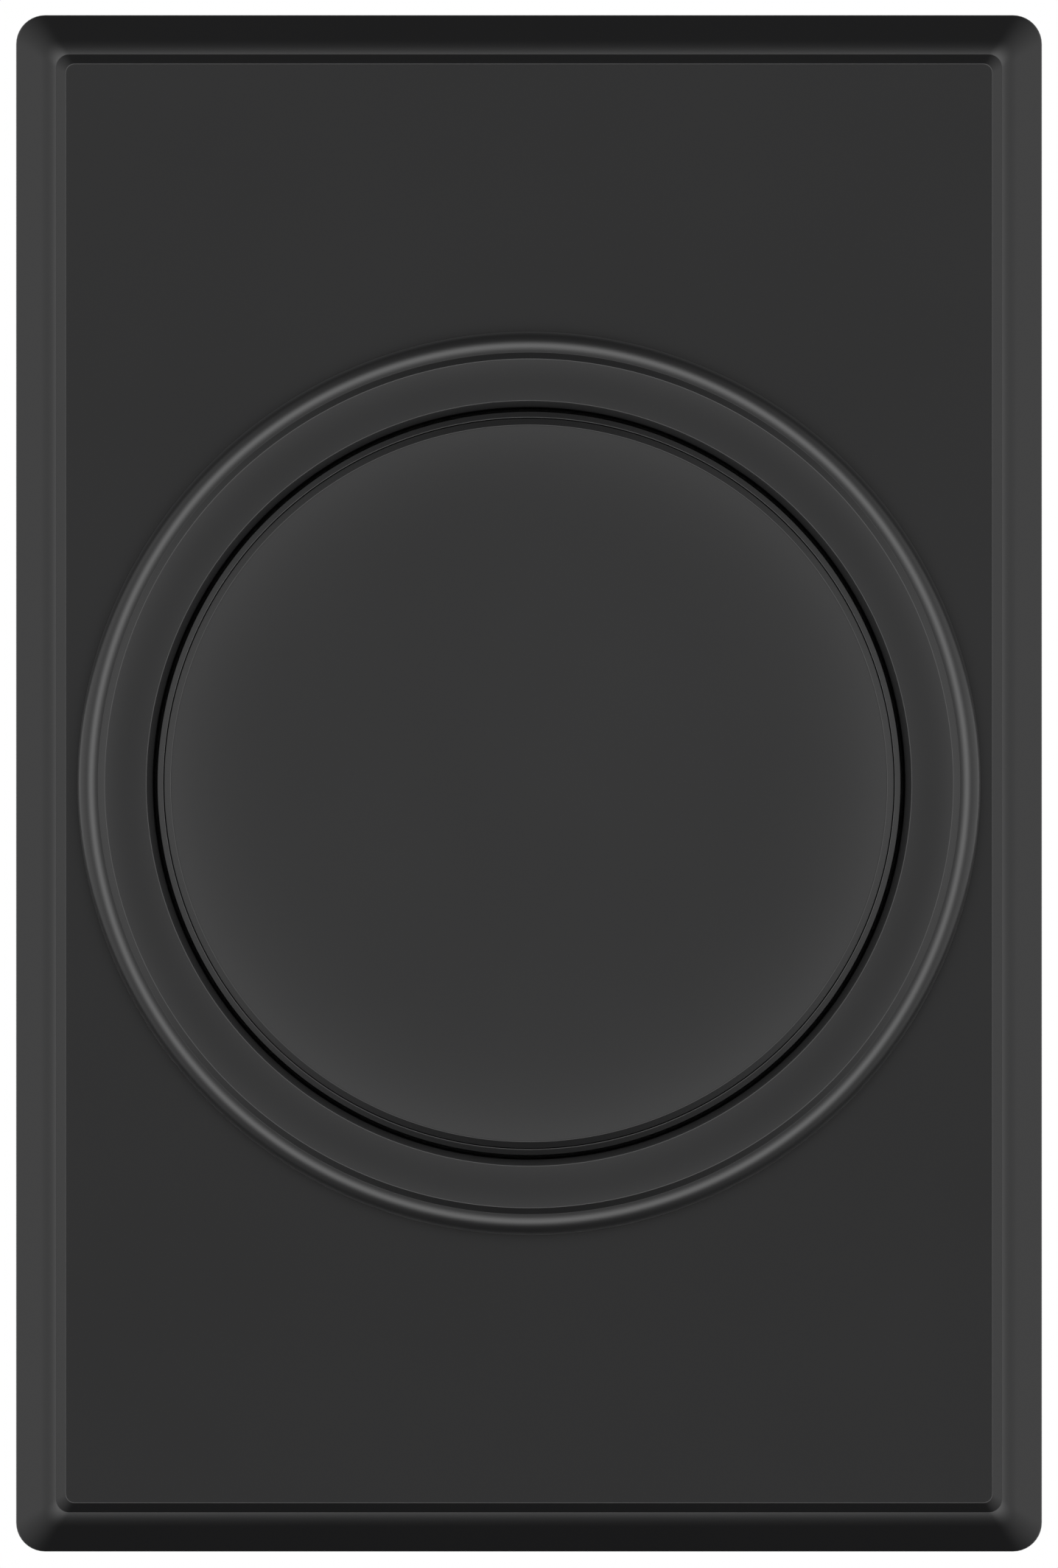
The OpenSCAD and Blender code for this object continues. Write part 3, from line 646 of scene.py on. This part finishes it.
def finishes():
    """Every finish of the doorbell: the frame's slots, and two for its round pieces, whose colour
    is a lighter copy of the coat that is painted light.
    """
    c = bpy.context.scene.doorbell_colours
    even = {"grain": 5200.0, "bump": 0.0000012, "mottle": 0.04, "spread": 0.004, "dust": 0.0}
    return {
        "graphite_finish": finish("Charcoal coat", c.coat, c.coat_roughness, **even),
        # The round pieces share the faceplate's coat; their lighter colour is painted light.
        "round_coat_lit_copy": finish("Charcoal coat, painted lighter for round pieces", c.round_coat_lit_copy, c.coat_roughness, **even),
        # The carrier's plastic takes the same lighter coat colour, which is painted light.
        "satin_plastic": finish("Satin plastic", c.round_coat_lit_copy, c.coat_roughness, grain=4200.0,
                                bump=0.000002, mottle=0.06, spread=0.01, dust=0.0),
        "blackened_steel": finish("Black oxide", (0.02, 0.02, 0.022), 0.38, metallic=0.6,
                                  bump=0.000003, wear=0.5),
        "seal_rubber": finish("Seal rubber", c.rubber, 0.75, grain=2200.0, bump=0.00001, dust=0.12),
        "spring_steel": finish("Spring steel", (0.46, 0.46, 0.48), 0.3, metallic=1.0,
                               streaks=(1, 6, 1), wear=0.2),
        "bright_steel": finish("Bright steel", (0.6, 0.6, 0.62), 0.22, metallic=1.0,
                               streaks=(1, 1, 8), bump=0.000002),
        "black_plastic": finish("Textured plastic", c.plastic, 0.5, grain=2600.0, bump=0.000012,
                                mottle=0.3, dust=0.06),
        "red_plastic": finish("Red plastic", (0.42, 0.02, 0.015), 0.38),
        "zinc_plate": finish("Zinc plate", c.zinc, 0.36, metallic=1.0, pattern=spangle,
                             spread=0.08, dust=0.08),
        "board_laminate": finish("Solder mask", (0.012, 0.12, 0.05), 0.3, pattern=tracks,
                                 bump=0.000003),
        "passive_ceramic": finish("Chip ceramic", (0.3, 0.2, 0.12), 0.5,
                                  pattern=beyond(-29.4, 0.68, "Z")),
        "copper_wire": finish("Enamelled copper", (0.62, 0.2, 0.07), 0.25, metallic=1.0),
    }


# ---- Settings --------------------------------------------------------------------------------

class DoorbellSizes(bpy.types.PropertyGroup):
    """Sizes that can be changed before the doorbell is built."""
    outer_corner: bpy.props.FloatProperty(
        name="Outer corner", description="Radius of the faceplate's outer corners",
        default=1.8 * MM, min=0.0012, max=0.003, subtype="DISTANCE", unit="LENGTH", precision=5)
    inner_corner: bpy.props.FloatProperty(
        name="Inner corner", description="Radius of the corners of the faceplate's small step",
        default=0.55 * MM, min=0.0002, max=0.0015, subtype="DISTANCE", unit="LENGTH", precision=5)
    edge_break: bpy.props.FloatProperty(
        name="Edge break", description="Radius that softens each moulded edge",
        default=0.07 * MM, min=0.00002, max=0.0002, subtype="DISTANCE", unit="LENGTH", precision=6)
    dish: bpy.props.FloatProperty(
        name="Finger dish", description="Depth of the dish in the push button",
        default=0.7 * MM, min=0.0001, max=0.0008, subtype="DISTANCE", unit="LENGTH", precision=5)
    round_segments: bpy.props.IntProperty(
        name="Round segments", description="Number of sides of each large round piece",
        default=256, min=96, max=512)
    spring_turns: bpy.props.FloatProperty(
        name="Spring turns", description="Number of turns of each return spring",
        default=4.0, min=3.0, max=6.0)
    camera_distance: bpy.props.FloatProperty(
        name="Camera distance", description="Distance of the camera from the faceplate's edge",
        default=0.9, min=0.4, max=3.0, subtype="DISTANCE", unit="LENGTH")


class DoorbellColours(bpy.types.PropertyGroup):
    """Colours and glosses of the finishes."""
    coat: bpy.props.FloatVectorProperty(
        name="Coat", description="Colour of the faceplate",
        default=(0.0045, 0.0045, 0.0047), size=3, min=0, max=1, subtype="COLOR")
    # Lighter than the faceplate's coat though it is the same coat: painted light, standing in for
    # the brighter light on the round pieces.
    round_coat_lit_copy: bpy.props.FloatVectorProperty(
        name="Round coat, painted lighter", description="Coat of the bezel ring, push button and carrier, painted lighter for the light on them",
        default=(0.0085, 0.0085, 0.0087), size=3, min=0, max=1, subtype="COLOR")
    coat_roughness: bpy.props.FloatProperty(
        name="Coat roughness", description="How matt the coat is",
        default=0.28, min=0.05, max=1.0, subtype="FACTOR")
    plastic: bpy.props.FloatVectorProperty(
        name="Plastic", description="Colour of the case and the battery cover",
        default=(0.010, 0.010, 0.011), size=3, min=0, max=1, subtype="COLOR")
    rubber: bpy.props.FloatVectorProperty(
        name="Rubber", description="Colour of the seals and the wall gasket",
        default=(0.016, 0.016, 0.016), size=3, min=0, max=1, subtype="COLOR")
    zinc: bpy.props.FloatVectorProperty(
        name="Zinc", description="Colour of the wall plate and the plated screws",
        default=(0.56, 0.57, 0.58), size=3, min=0, max=1, subtype="COLOR")
    ground: bpy.props.FloatVectorProperty(
        name="Ground", description="Colour of the wall and the floor behind the doorbell",
        default=(1.0, 1.0, 1.0), size=3, min=0, max=1, subtype="COLOR")


# ---- Pieces ----------------------------------------------------------------------------------

def moulding():
    """The faceplate's moulded edge, as points (distance in from the edge, height)."""
    tilt, crest, run, bead, rise = 42, 27, 1.5, 4.4, 0.55
    edge, step_run = 0.3, 0.6
    tilt_sin, tilt_cos = math.sin(math.radians(tilt)), math.cos(math.radians(tilt))
    crest_sin, crest_cos = math.sin(math.radians(crest)), math.cos(math.radians(crest))
    step = edge * (1 - tilt_sin) + run + bead * (tilt_sin - crest_sin)
    bead_x, bead_z = step + bead * crest_sin, FIELD - rise - bead * crest_cos
    foot = bead_z + bead * tilt_cos - run * math.tan(math.radians(tilt))
    points = arc(edge, foot - edge * tilt_cos, edge, -90, -tilt, 6)
    points += arc(bead_x, bead_z, bead, -tilt, -crest, 14)
    points.append((step + step_run, FIELD))
    return points


def upright(foot):
    """A way to draw on the lock screw's upright axis, in millimetres above a foot."""
    low, high = corners("lock_screw")
    depth = (low.y + high.y) / 2
    return lambda x, y, z: Vector((x * MM, (depth + y) * MM, (foot + z) * MM))


def build_faceplate():
    """The faceplate's shell: moulded edge, field, hole, underside and skirt."""
    corner, chamfer, hole, count = 1.5, 0.1, SPIGOT_R + 0.2, 192
    sizes = bpy.context.scene.doorbell_sizes
    outer, inner = sizes.outer_corner / MM, sizes.inner_corner / MM
    edge = sizes.edge_break / MM
    section = [(0, SKIRT_END)] + moulding() + [(4.0, FIELD)]
    section = supported(softened(section, edge, closed=False), closed=False)[:-1]
    field_edge = section[-1][0]
    bm = bmesh.new()

    def loop(points, height):
        verts = [bm.verts.new(stood(x, y, height)) for x, y in points]
        return verts, [bm.edges.new((verts[i - 1], verts[i])) for i in range(len(verts))]

    def rectangle(inset, height, radius):
        return loop(rounded_loop(PLATE_W - 2 * inset, PLATE_H - 2 * inset, radius), height)

    def join(a, b):
        for i in range(len(a)):
            bm.faces.new((a[i - 1], a[i], b[i], b[i - 1]))

    rings = []
    for inset, height in [(0.12, SKIRT_END), (0, SKIRT_END + chamfer)] + section[1:]:
        share = min(1.0, max(0.0, inset) / field_edge)
        rings.append(rectangle(inset, height, outer + (inner - outer) * share))
    for low, high in zip(rings, rings[1:]):
        join(low[0], high[0])
    inside = [rectangle(SKIRT, UNDERSIDE, corner), rectangle(SKIRT, UNDERSIDE - 0.08, corner),
              rectangle(SKIRT, SKIRT_END + chamfer, corner),
              rectangle(SKIRT - chamfer, SKIRT_END, corner + 0.05)]
    for low, high in zip(inside, inside[1:]):
        join(low[0], high[0])
    join(inside[-1][0], rings[0][0])
    circle = [(math.cos(2 * math.pi * i / count), math.sin(2 * math.pi * i / count))
              for i in range(count)]
    bore = [loop([(x * (hole + r), y * (hole + r)) for x, y in circle], z) for r, z in
            [(0.14, FIELD), (0.09, FIELD), (0.03, FIELD - 0.03), (0, FIELD - 0.09),
             (0, UNDERSIDE + 0.09), (0.09, UNDERSIDE), (0.14, UNDERSIDE)]]
    for low, high in zip(bore, bore[1:]):
        join(low[0], high[0])
    bmesh.ops.triangle_fill(bm, use_beauty=True, edges=rings[-1][1] + bore[0][1])
    bmesh.ops.triangle_fill(bm, use_beauty=True, edges=inside[0][1] + bore[-1][1])
    obj = finished_mesh(bm, "faceplate_shell")

    head_r = 2.3
    high = corners("case_screws")[1]
    cx, cy = high.x - head_r, high.z - head_r
    boolean(obj, [plug([(1.27, 12), (1.27, 8.25), (1.42, 8.05), (2.8, 8.05), (2.9, 8.15),
                        (2.9, FIELD - 1)], (sx * cx, sy * cy), 40)
                  for sx in (-1, 1) for sy in (-1, 1)], "UNION")
    cutter = plug([(2.45, -1), (2.45, 0), (2.35, 0.1), (2.35, 1.4), (1.4, 1.4), (1.4, SKIRT + 1)],
                  segments=48, place=upright(PLATE_LOW.z))
    boolean(obj, [cutter], "DIFFERENCE")
    piece(obj, "housing", "faceplate", finishes()["graphite_finish"])


def build_bezel():
    """The bezel ring, a moulding swept round its bore."""
    sizes = bpy.context.scene.doorbell_sizes
    lip, lip_drop, rounding, crown = 0.4, 0.3, 1.3, 0.06
    step_in, step_run = 1.32, 0.4
    clip_low, clip_high, clip_in = 11.95, 13.05, SPIGOT_R - 0.8
    groove, groove_end, groove_top = SPIGOT_R + 0.8, SPIGOT_R + 1.9, FIELD + 0.6
    step_r = BEZEL_R - step_in
    crown_in, crown_out = BORE_R + lip, step_r - step_run
    half, middle = (crown_out - crown_in) / 2, (crown_out + crown_in) / 2
    crown_r = (half * half + crown * crown) / (2 * crown)
    angle = math.degrees(math.asin(half / crown_r))
    points = [(BORE_R, SPIGOT_END), (SPIGOT_R, SPIGOT_END), (SPIGOT_R, clip_low),
              (clip_in, clip_low), (clip_in, clip_high), (SPIGOT_R, clip_high),
              (SPIGOT_R, FIELD), (groove, FIELD), (groove, groove_top), (groove_end, groove_top),
              (groove_end, FIELD), (BEZEL_R, FIELD)]
    points += arc(BEZEL_R - rounding, RIM - rounding, rounding, 90, 0, 20)
    points.append((step_r, RIM))
    points += arc(middle, LAND + crown - crown_r, crown_r, angle, -angle, 14)
    points.append((BORE_R, LAND - lip_drop))
    points = supported(softened(points, sizes.edge_break / MM))
    outline = bpy.data.meshes.new("outline")
    outline.from_pydata([((r - BORE_R) * MM, -z * MM, 0) for r, z in points],
                        [(i, (i + 1) % len(points)) for i in range(len(points))], [])
    tree, ids = ring_tree()
    coat = finishes()["round_coat_lit_copy"]
    obj = grown("bezel_moulding", tree, ids, {"Bore Radius": BORE_R * MM,
                "Segments": sizes.round_segments, "Finish": coat}, outline)
    inner = min(math.hypot(v.co.x, v.co.z) for v in obj.data.vertices) / MM
    if abs(inner - BORE_R) > 0.02:
        raise RuntimeError(f"the bezel's bore came out at {inner:.3f} mm")
    bm = bmesh.new()
    bm.from_mesh(obj.data)
    bmesh.ops.recalc_face_normals(bm, faces=bm.faces)
    bm.to_mesh(obj.data)
    bm.free()
    piece(obj, "housing", "bezel_ring", coat)


def build_cap():
    """The push button's cap: shallow dish, bevel and three screw bosses."""
    power, steps = 4.5, 36
    sizes = bpy.context.scene.doorbell_sizes
    face = CAP_R - CAP_BEVEL
    depth = sizes.dish / MM
    section = [(face * i / steps, BUTTON - depth * (1 - (i / steps) ** power))
               for i in range(steps + 1)]
    section += [(CAP_R, BUTTON - CAP_BEVEL), (CAP_R, CAP_UNDER), (0, CAP_UNDER)]
    section = supported(softened(section, sizes.edge_break / MM, closed=False), closed=False)
    obj = turned("cap_disc", section, sizes.round_segments)
    boolean(obj, [plug([(1.02, CAP_UNDER + 0.5), (1.02, WEB_TOP + 0.1), (1.12, WEB_TOP),
                        (1.9, WEB_TOP), (2.0, WEB_TOP + 0.1), (2.0, CAP_UNDER + 0.7)], at)
                  for at in three(CAP_SCREW_CIRCLE, CAP_SCREW_ANGLE)], "UNION")
    piece(obj, "push_button", "push_cap", finishes()["round_coat_lit_copy"])


def build_carrier():
    """The carrier that holds the cap: rim, skirt, stop flange, web and guide bosses."""
    edge, bevel, flange_t = 0.05, 0.35, 0.8
    sizes = bpy.context.scene.doorbell_sizes
    inside, lip, flange = BUTTON_R - 1.5, BUTTON_R - 0.37, BUTTON_R + 1.35
    top = SPIGOT_END - 0.4
    section = [(0, WEB), (inside, WEB), (inside, top - flange_t), (flange, top - flange_t),
               (flange, top), (BUTTON_R, top), (BUTTON_R, BUTTON - CAP_BEVEL - bevel),
               (lip, BUTTON - CAP_BEVEL), (lip, CAP_UNDER), (inside, CAP_UNDER),
               (inside, WEB_TOP), (0, WEB_TOP)]
    section = supported(softened(section, edge, closed=False), closed=False)
    obj = turned("carrier_shell", section, sizes.round_segments)
    bosses = [plug([(2.85, WEB - 1), (3.0, WEB - 0.85), (3.0, WEB + 0.5)], segments=40)]
    holes = []
    for pin, cap in zip(three(PIN_CIRCLE, PIN_ANGLE), three(CAP_SCREW_CIRCLE, CAP_SCREW_ANGLE)):
        bosses.append(plug([(2.3, WEB - 1.6), (2.4, WEB - 1.5), (2.4, WEB + 0.5)], pin, 40))
        holes.append(plug([(1.05, WEB - 2.6), (1.05, WEB_TOP + 1)], pin))
        holes.append(plug([(1.15, WEB - 1), (1.15, WEB_TOP + 1)], cap))
    boolean(obj, bosses, "UNION")
    boolean(obj, holes, "DIFFERENCE")
    piece(obj, "push_button", "button_carrier", finishes()["satin_plastic"])


def build_springs():
    """The return springs, the switch's spring and the antenna coil."""
    sizes = bpy.context.scene.doorbell_sizes
    looks = finishes()
    tree, ids = spring_tree()

    def wound(name, radius, wire, low, high, turns, look):
        obj = grown(name, tree, ids, {
            "Coil Radius": radius * MM, "Wire Radius": wire / 2 * MM,
            "Length": (high - low - wire) * MM, "Turns": turns, "Finish": look})
        obj.data.transform(Matrix.Translation((0, 0, (low + wire / 2) * MM)))
        return obj

    low, high = heights("return_springs")
    steel = looks["spring_steel"]
    one = wound("spring", 1.5, 0.4, low, high, sizes.spring_turns, steel)
    springs = copies("return_spring_set", "ring", one, round_circle(PIN_CIRCLE, PIN_ANGLE), steel)
    piece(springs, "housing", "return_springs", steel)
    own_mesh(springs)
    low, high = heights("switch_spring")
    small = wound("switch_spring_wire", 1.8, 0.3, low, high, 5.0, steel)
    small.data.transform(Matrix.Rotation(math.pi / 2, 4, "X"))
    piece(small, "housing", "switch_spring", steel)
    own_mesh(small)
    low, high = corners("antenna_coil")
    centre = (low + high) / 2
    coil = wound("antenna_winding", 1.55, 0.6, 0, high.x - low.x, 7.0, looks["copper_wire"])
    coil.data.transform(Matrix.Translation((low.x * MM, centre.y * MM, centre.z * MM))
                        @ Matrix.Rotation(math.pi / 2, 4, "Y"))
    piece(coil, "housing", "antenna_coil", looks["copper_wire"])


def build_screws():
    """Every screw, and the guide pins."""
    looks = finishes()
    bright, zinc, black = looks["bright_steel"], looks["zinc_plate"], looks["blackened_steel"]
    caps = copies("cap_screw_set", "ring",
                  screw("part", 1.0, CAP_UNDER - WEB, 1.9, 1.0, base=WEB),
                  round_circle(CAP_SCREW_CIRCLE, CAP_SCREW_ANGLE), bright)
    piece(caps, "push_button", "cap_screws", bright)
    for node, name, r, head_r, head_t, flip in (
            ("case_screws", "case_screw_set", 1.25, 2.3, 1.4, 1),
            ("board_screws", "board_screw_set", 1.0, 1.9, 1.1, -1)):
        low, high = corners(node)
        near, far = -high.y, -low.y
        base = near + head_t if flip > 0 else far - head_t
        part = screw("part", r, far - near - head_t, head_r, head_t, base=base, flip=flip)
        screws = copies(name, "corners", part, {"Width": 2 * (high.x - head_r) * MM,
                                                "Height": 2 * (high.z - head_r) * MM}, zinc)
        piece(screws, "housing", node, zinc)
    low, high = heights("guide_pins")
    pin = turned("part", [(0, low), (0.85, low), (1.0, low + 0.15), (1.0, low + 0.2),
                          (1.0, high - 0.35), (1.0, high - 0.3), (0.94, high - 0.12), (0.7, high),
                          (0, high)], 40, place=lying)
    pins = copies("guide_pin_set", "ring", pin, round_circle(PIN_CIRCLE, PIN_ANGLE), bright)
    piece(pins, "housing", "guide_pins", bright)
    low, high = corners("lock_screw")
    head_t = 1.2
    lock = screw("lock_screw_turned", 1.25, high.z - low.z - head_t, 2.2, head_t,
                 base=low.z + head_t, place=upright(0.0))
    piece(lock, "housing", "lock_screw", black)


def build_passives():
    """The row of small ceramic parts on the board."""
    look = finishes()["passive_ceramic"]
    low, high = corners("board_passives")
    width, count = 1.25, 6
    bm = bmesh.new()
    bmesh.ops.create_cube(bm, size=1)
    tall = -low.y - BOARD_TOP
    for v in bm.verts:
        v.co = Vector((v.co.x * width, v.co.y * (high.z - low.z),
                       BOARD_TOP + (v.co.z + 0.5) * tall)) * MM
    bmesh.ops.bevel(bm, geom=list(bm.edges), offset=0.08 * MM, segments=2, affect="EDGES",
                    profile=0.5)
    part = finished_mesh(bm, "part")
    pitch = (high.x - low.x - width) / (count - 1)
    row = copies("passive_row", "row", part, {
        "Pitch": pitch * MM, "Start": (low.x + width / 2) * MM, "Up": (low.z + high.z) / 2 * MM,
        "Count": count}, look)
    piece(row, "housing", "board_passives", look)


def build_back():
    """The rear case, the battery cover, the wall plate and the wall gasket."""
    looks = finishes()
    for node, name, body, slot, bevel in (
            ("rear_case", "rear_case_moulded", "housing", "black_plastic", 0.12),
            ("battery_cover", "battery_cover_moulded", "battery_door", "black_plastic", 0.1),
            ("wall_plate", "wall_plate_pressed", "housing", "zinc_plate", 0.16),
            ("wall_gasket", "wall_gasket_cut", "housing", "seal_rubber", 0.15)):
        piece(refined(node, name, bevel), body, node, looks[slot])


def paint_nodes():
    """The finish of each frame node that is kept as it is."""
    looks = finishes()
    tin = finish("Chip body", (0.012, 0.012, 0.013), 0.45, pattern=beyond(-9.0, 3.6, "X"))
    slots = {s["node"]: s["material_slot"] for s in frame["record"]["subparts"]}
    for name, obj in frame["nodes"].items():
        if obj.hide_render:
            continue
        look = tin if name == "controller_chip" else looks[slots[name]]
        if not obj.material_slots:
            obj.data.materials.append(look)
        for spot in obj.material_slots:
            spot.material = look


# ---- Stage -----------------------------------------------------------------------------------

# Brightness of the soft studio light by direction. The ring's place and width are in degrees.
FRONT, RING, RING_AT, RING_WIDTH = 0.24, 4.3, 39.0, 16.5
SIDES, ABOVE, BEHIND = 1.25, 0.06, 0.8

# The ground, in metres: how far it reaches, the floor's level and depth, and the wall's place
REACH, FLOOR, DEPTH, WALL = 3, -1.2, 4, 0.002
# The view's height at the faceplate's edge and the camera's level, in metres, and its sensor in mm
VIEW_HEIGHT, CAMERA_LEVEL, SENSOR = 0.09704, -0.00004, 36.0


def flat_sheet(name, points, material):
    """A flat sheet of the stage."""
    mesh = bpy.data.meshes.new(name)
    mesh.from_pydata(points, [], [tuple(range(len(points)))])
    mesh.materials.append(material)
    obj = placed(name, mesh)


def ground_material(name, colour, lit):
    """A plain ground that shows only from its front, and throws no light on the doorbell."""
    material = bpy.data.materials.new(name)
    material.use_nodes = True
    tree = material.node_tree
    tree.nodes.clear()
    glow = wired(tree, "ShaderNodeBsdfDiffuse" if lit else "ShaderNodeEmission",
                 {"Color": (*colour, 1)})
    clear = tree.nodes.new("ShaderNodeBsdfTransparent")
    camera = tree.nodes.new("ShaderNodeLightPath").outputs["Is Camera Ray"]
    back = tree.nodes.new("ShaderNodeNewGeometry").outputs["Backfacing"]
    shown = maths(tree, "MULTIPLY", camera, maths(tree, "SUBTRACT", 1.0, back))
    mix = wired(tree, "ShaderNodeMixShader", {0: shown, 1: clear.outputs[0], 2: glow.outputs[0]})
    wired(tree, "ShaderNodeOutputMaterial", {"Surface": mix.outputs[0]})
    return material


def soft_light(world):
    """A soft light tent: a ring of light round the camera, bright sides, a dim top and a back."""
    world.use_nodes = True
    tree = world.node_tree
    tree.nodes.clear()
    where = tree.nodes.new("ShaderNodeTexCoord").outputs["Generated"]
    x, y, z = wired(tree, "ShaderNodeSeparateXYZ", {0: where}).outputs

    def times(first, second):
        return maths(tree, "MULTIPLY", first, second)

    def plus(first, second):
        return maths(tree, "ADD", first, second)

    degrees = times(maths(tree, "ARCCOSINE", times(y, -1.0)), 180 / math.pi)
    off = maths(tree, "DIVIDE", maths(tree, "SUBTRACT", degrees, RING_AT), RING_WIDTH)
    bell = maths(tree, "POWER", math.e, times(maths(tree, "POWER", off, 2.0), -1.0))
    near = times(ranged(tree, z, -0.1, 0.0, 0.3, 1.0),
                 ranged(tree, degrees, 25.0, 60.0, FRONT, 0.0))
    wide = ranged(tree, degrees, 45.0, 80.0, 0.0, 1.0)
    edge = plus(times(maths(tree, "POWER", x, 2.0), SIDES),
                times(maths(tree, "MAXIMUM", z, 0.0), ABOVE))
    light = plus(plus(times(bell, RING), near), times(wide, edge))
    light = plus(light, ranged(tree, y, 0.35, 0.8, 0.0, BEHIND))
    tent = wired(tree, "ShaderNodeBackground", {"Strength": light})
    plain = wired(tree, "ShaderNodeBackground", {"Color": (0.86, 0.86, 0.86, 1)})
    camera = tree.nodes.new("ShaderNodeLightPath").outputs["Is Camera Ray"]
    mix = wired(tree, "ShaderNodeMixShader", {0: camera, 1: tent.outputs[0], 2: plain.outputs[0]})
    wired(tree, "ShaderNodeOutputWorld", {"Surface": mix.outputs[0]})


def build_stage():
    """The plain wall and floor, the soft light and the camera."""
    scene = bpy.context.scene
    sizes, colours = scene.doorbell_sizes, scene.doorbell_colours
    ground = ground_material("Plain wall", colours.ground, lit=False)
    flat_sheet("backdrop", [(-REACH, WALL, FLOOR), (REACH, WALL, FLOOR), (REACH, WALL, REACH),
                            (-REACH, WALL, REACH)], ground)
    flat_sheet("floor", [(-REACH, -DEPTH, FLOOR), (REACH, -DEPTH, FLOOR), (REACH, DEPTH, FLOOR),
                         (-REACH, DEPTH, FLOOR)],
               ground_material("Pale floor", [0.85 * v for v in colours.ground], lit=True))
    scene.world = bpy.data.worlds.new("Studio")
    soft_light(scene.world)
    scene.view_settings.view_transform = "Standard"
    data = bpy.data.cameras.new("Camera")
    camera = placed("Camera", data)
    edge = moulding()[3][1] * MM
    distance = sizes.camera_distance
    data.sensor_width = SENSOR
    data.lens = SENSOR * distance / VIEW_HEIGHT
    data.clip_start, data.clip_end = 0.01, 50
    camera.location = (0, -edge - distance, CAMERA_LEVEL)
    camera.rotation_euler = (math.pi / 2, 0, 0)
    scene.camera = camera


# ---- Operators -------------------------------------------------------------------------------

class DOORBELL_OT_faceplate(bpy.types.Operator):
    """Build the faceplate with its moulded edge"""
    bl_idname = "doorbell.faceplate"
    bl_label = "Faceplate"

    def execute(self, context):
        build_faceplate()
        return {"FINISHED"}


class DOORBELL_OT_bezel(bpy.types.Operator):
    """Build the bezel ring round the button"""
    bl_idname = "doorbell.bezel"
    bl_label = "Bezel ring"

    def execute(self, context):
        build_bezel()
        return {"FINISHED"}


class DOORBELL_OT_button(bpy.types.Operator):
    """Build the push button's cap and its carrier"""
    bl_idname = "doorbell.button"
    bl_label = "Push button"

    def execute(self, context):
        build_cap()
        build_carrier()
        return {"FINISHED"}


class DOORBELL_OT_springs(bpy.types.Operator):
    """Wind the springs and the antenna coil"""
    bl_idname = "doorbell.springs"
    bl_label = "Springs and coil"

    def execute(self, context):
        build_springs()
        return {"FINISHED"}


class DOORBELL_OT_screws(bpy.types.Operator):
    """Turn the screws and the guide pins"""
    bl_idname = "doorbell.screws"
    bl_label = "Screws and pins"

    def execute(self, context):
        build_screws()
        return {"FINISHED"}


class DOORBELL_OT_back(bpy.types.Operator):
    """Build the rear case, battery cover, wall plate and wall gasket"""
    bl_idname = "doorbell.back"
    bl_label = "Case and wall plate"

    def execute(self, context):
        build_back()
        return {"FINISHED"}


class DOORBELL_OT_board(bpy.types.Operator):
    """Build the small board parts and finish every piece kept from the frame"""
    bl_idname = "doorbell.board"
    bl_label = "Board and inner pieces"

    def execute(self, context):
        build_passives()
        paint_nodes()
        return {"FINISHED"}


class DOORBELL_OT_stage(bpy.types.Operator):
    """Set up the wall, the floor, the light and the camera"""
    bl_idname = "doorbell.stage"
    bl_label = "Stage"

    def execute(self, context):
        build_stage()
        return {"FINISHED"}


STEPS = (DOORBELL_OT_faceplate, DOORBELL_OT_bezel, DOORBELL_OT_button, DOORBELL_OT_springs,
         DOORBELL_OT_screws, DOORBELL_OT_back, DOORBELL_OT_board, DOORBELL_OT_stage)


class DOORBELL_PT_panel(bpy.types.Panel):
    """The doorbell's settings and building steps"""
    bl_idname = "DOORBELL_PT_panel"
    bl_label = "Doorbell push"
    bl_space_type = "VIEW_3D"
    bl_region_type = "UI"
    bl_category = "Doorbell"

    def draw(self, context):
        for settings in (context.scene.doorbell_sizes, context.scene.doorbell_colours):
            column = self.layout.column()
            for name in settings.__annotations__:
                column.prop(settings, name)
        for step in STEPS:
            self.layout.operator(step.bl_idname)


CLASSES = (DoorbellSizes, DoorbellColours) + STEPS + (DOORBELL_PT_panel,)


def register():
    for cls in CLASSES:
        bpy.utils.register_class(cls)
    bpy.types.Scene.doorbell_sizes = bpy.props.PointerProperty(type=DoorbellSizes)
    bpy.types.Scene.doorbell_colours = bpy.props.PointerProperty(type=DoorbellColours)


def unregister():
    del bpy.types.Scene.doorbell_colours
    del bpy.types.Scene.doorbell_sizes
    for cls in reversed(CLASSES):
        bpy.utils.unregister_class(cls)


def main():
    register()
    for step in STEPS:
        getattr(bpy.ops.doorbell, step.bl_idname.split(".")[1])()


if __name__ == "__main__":
    main()
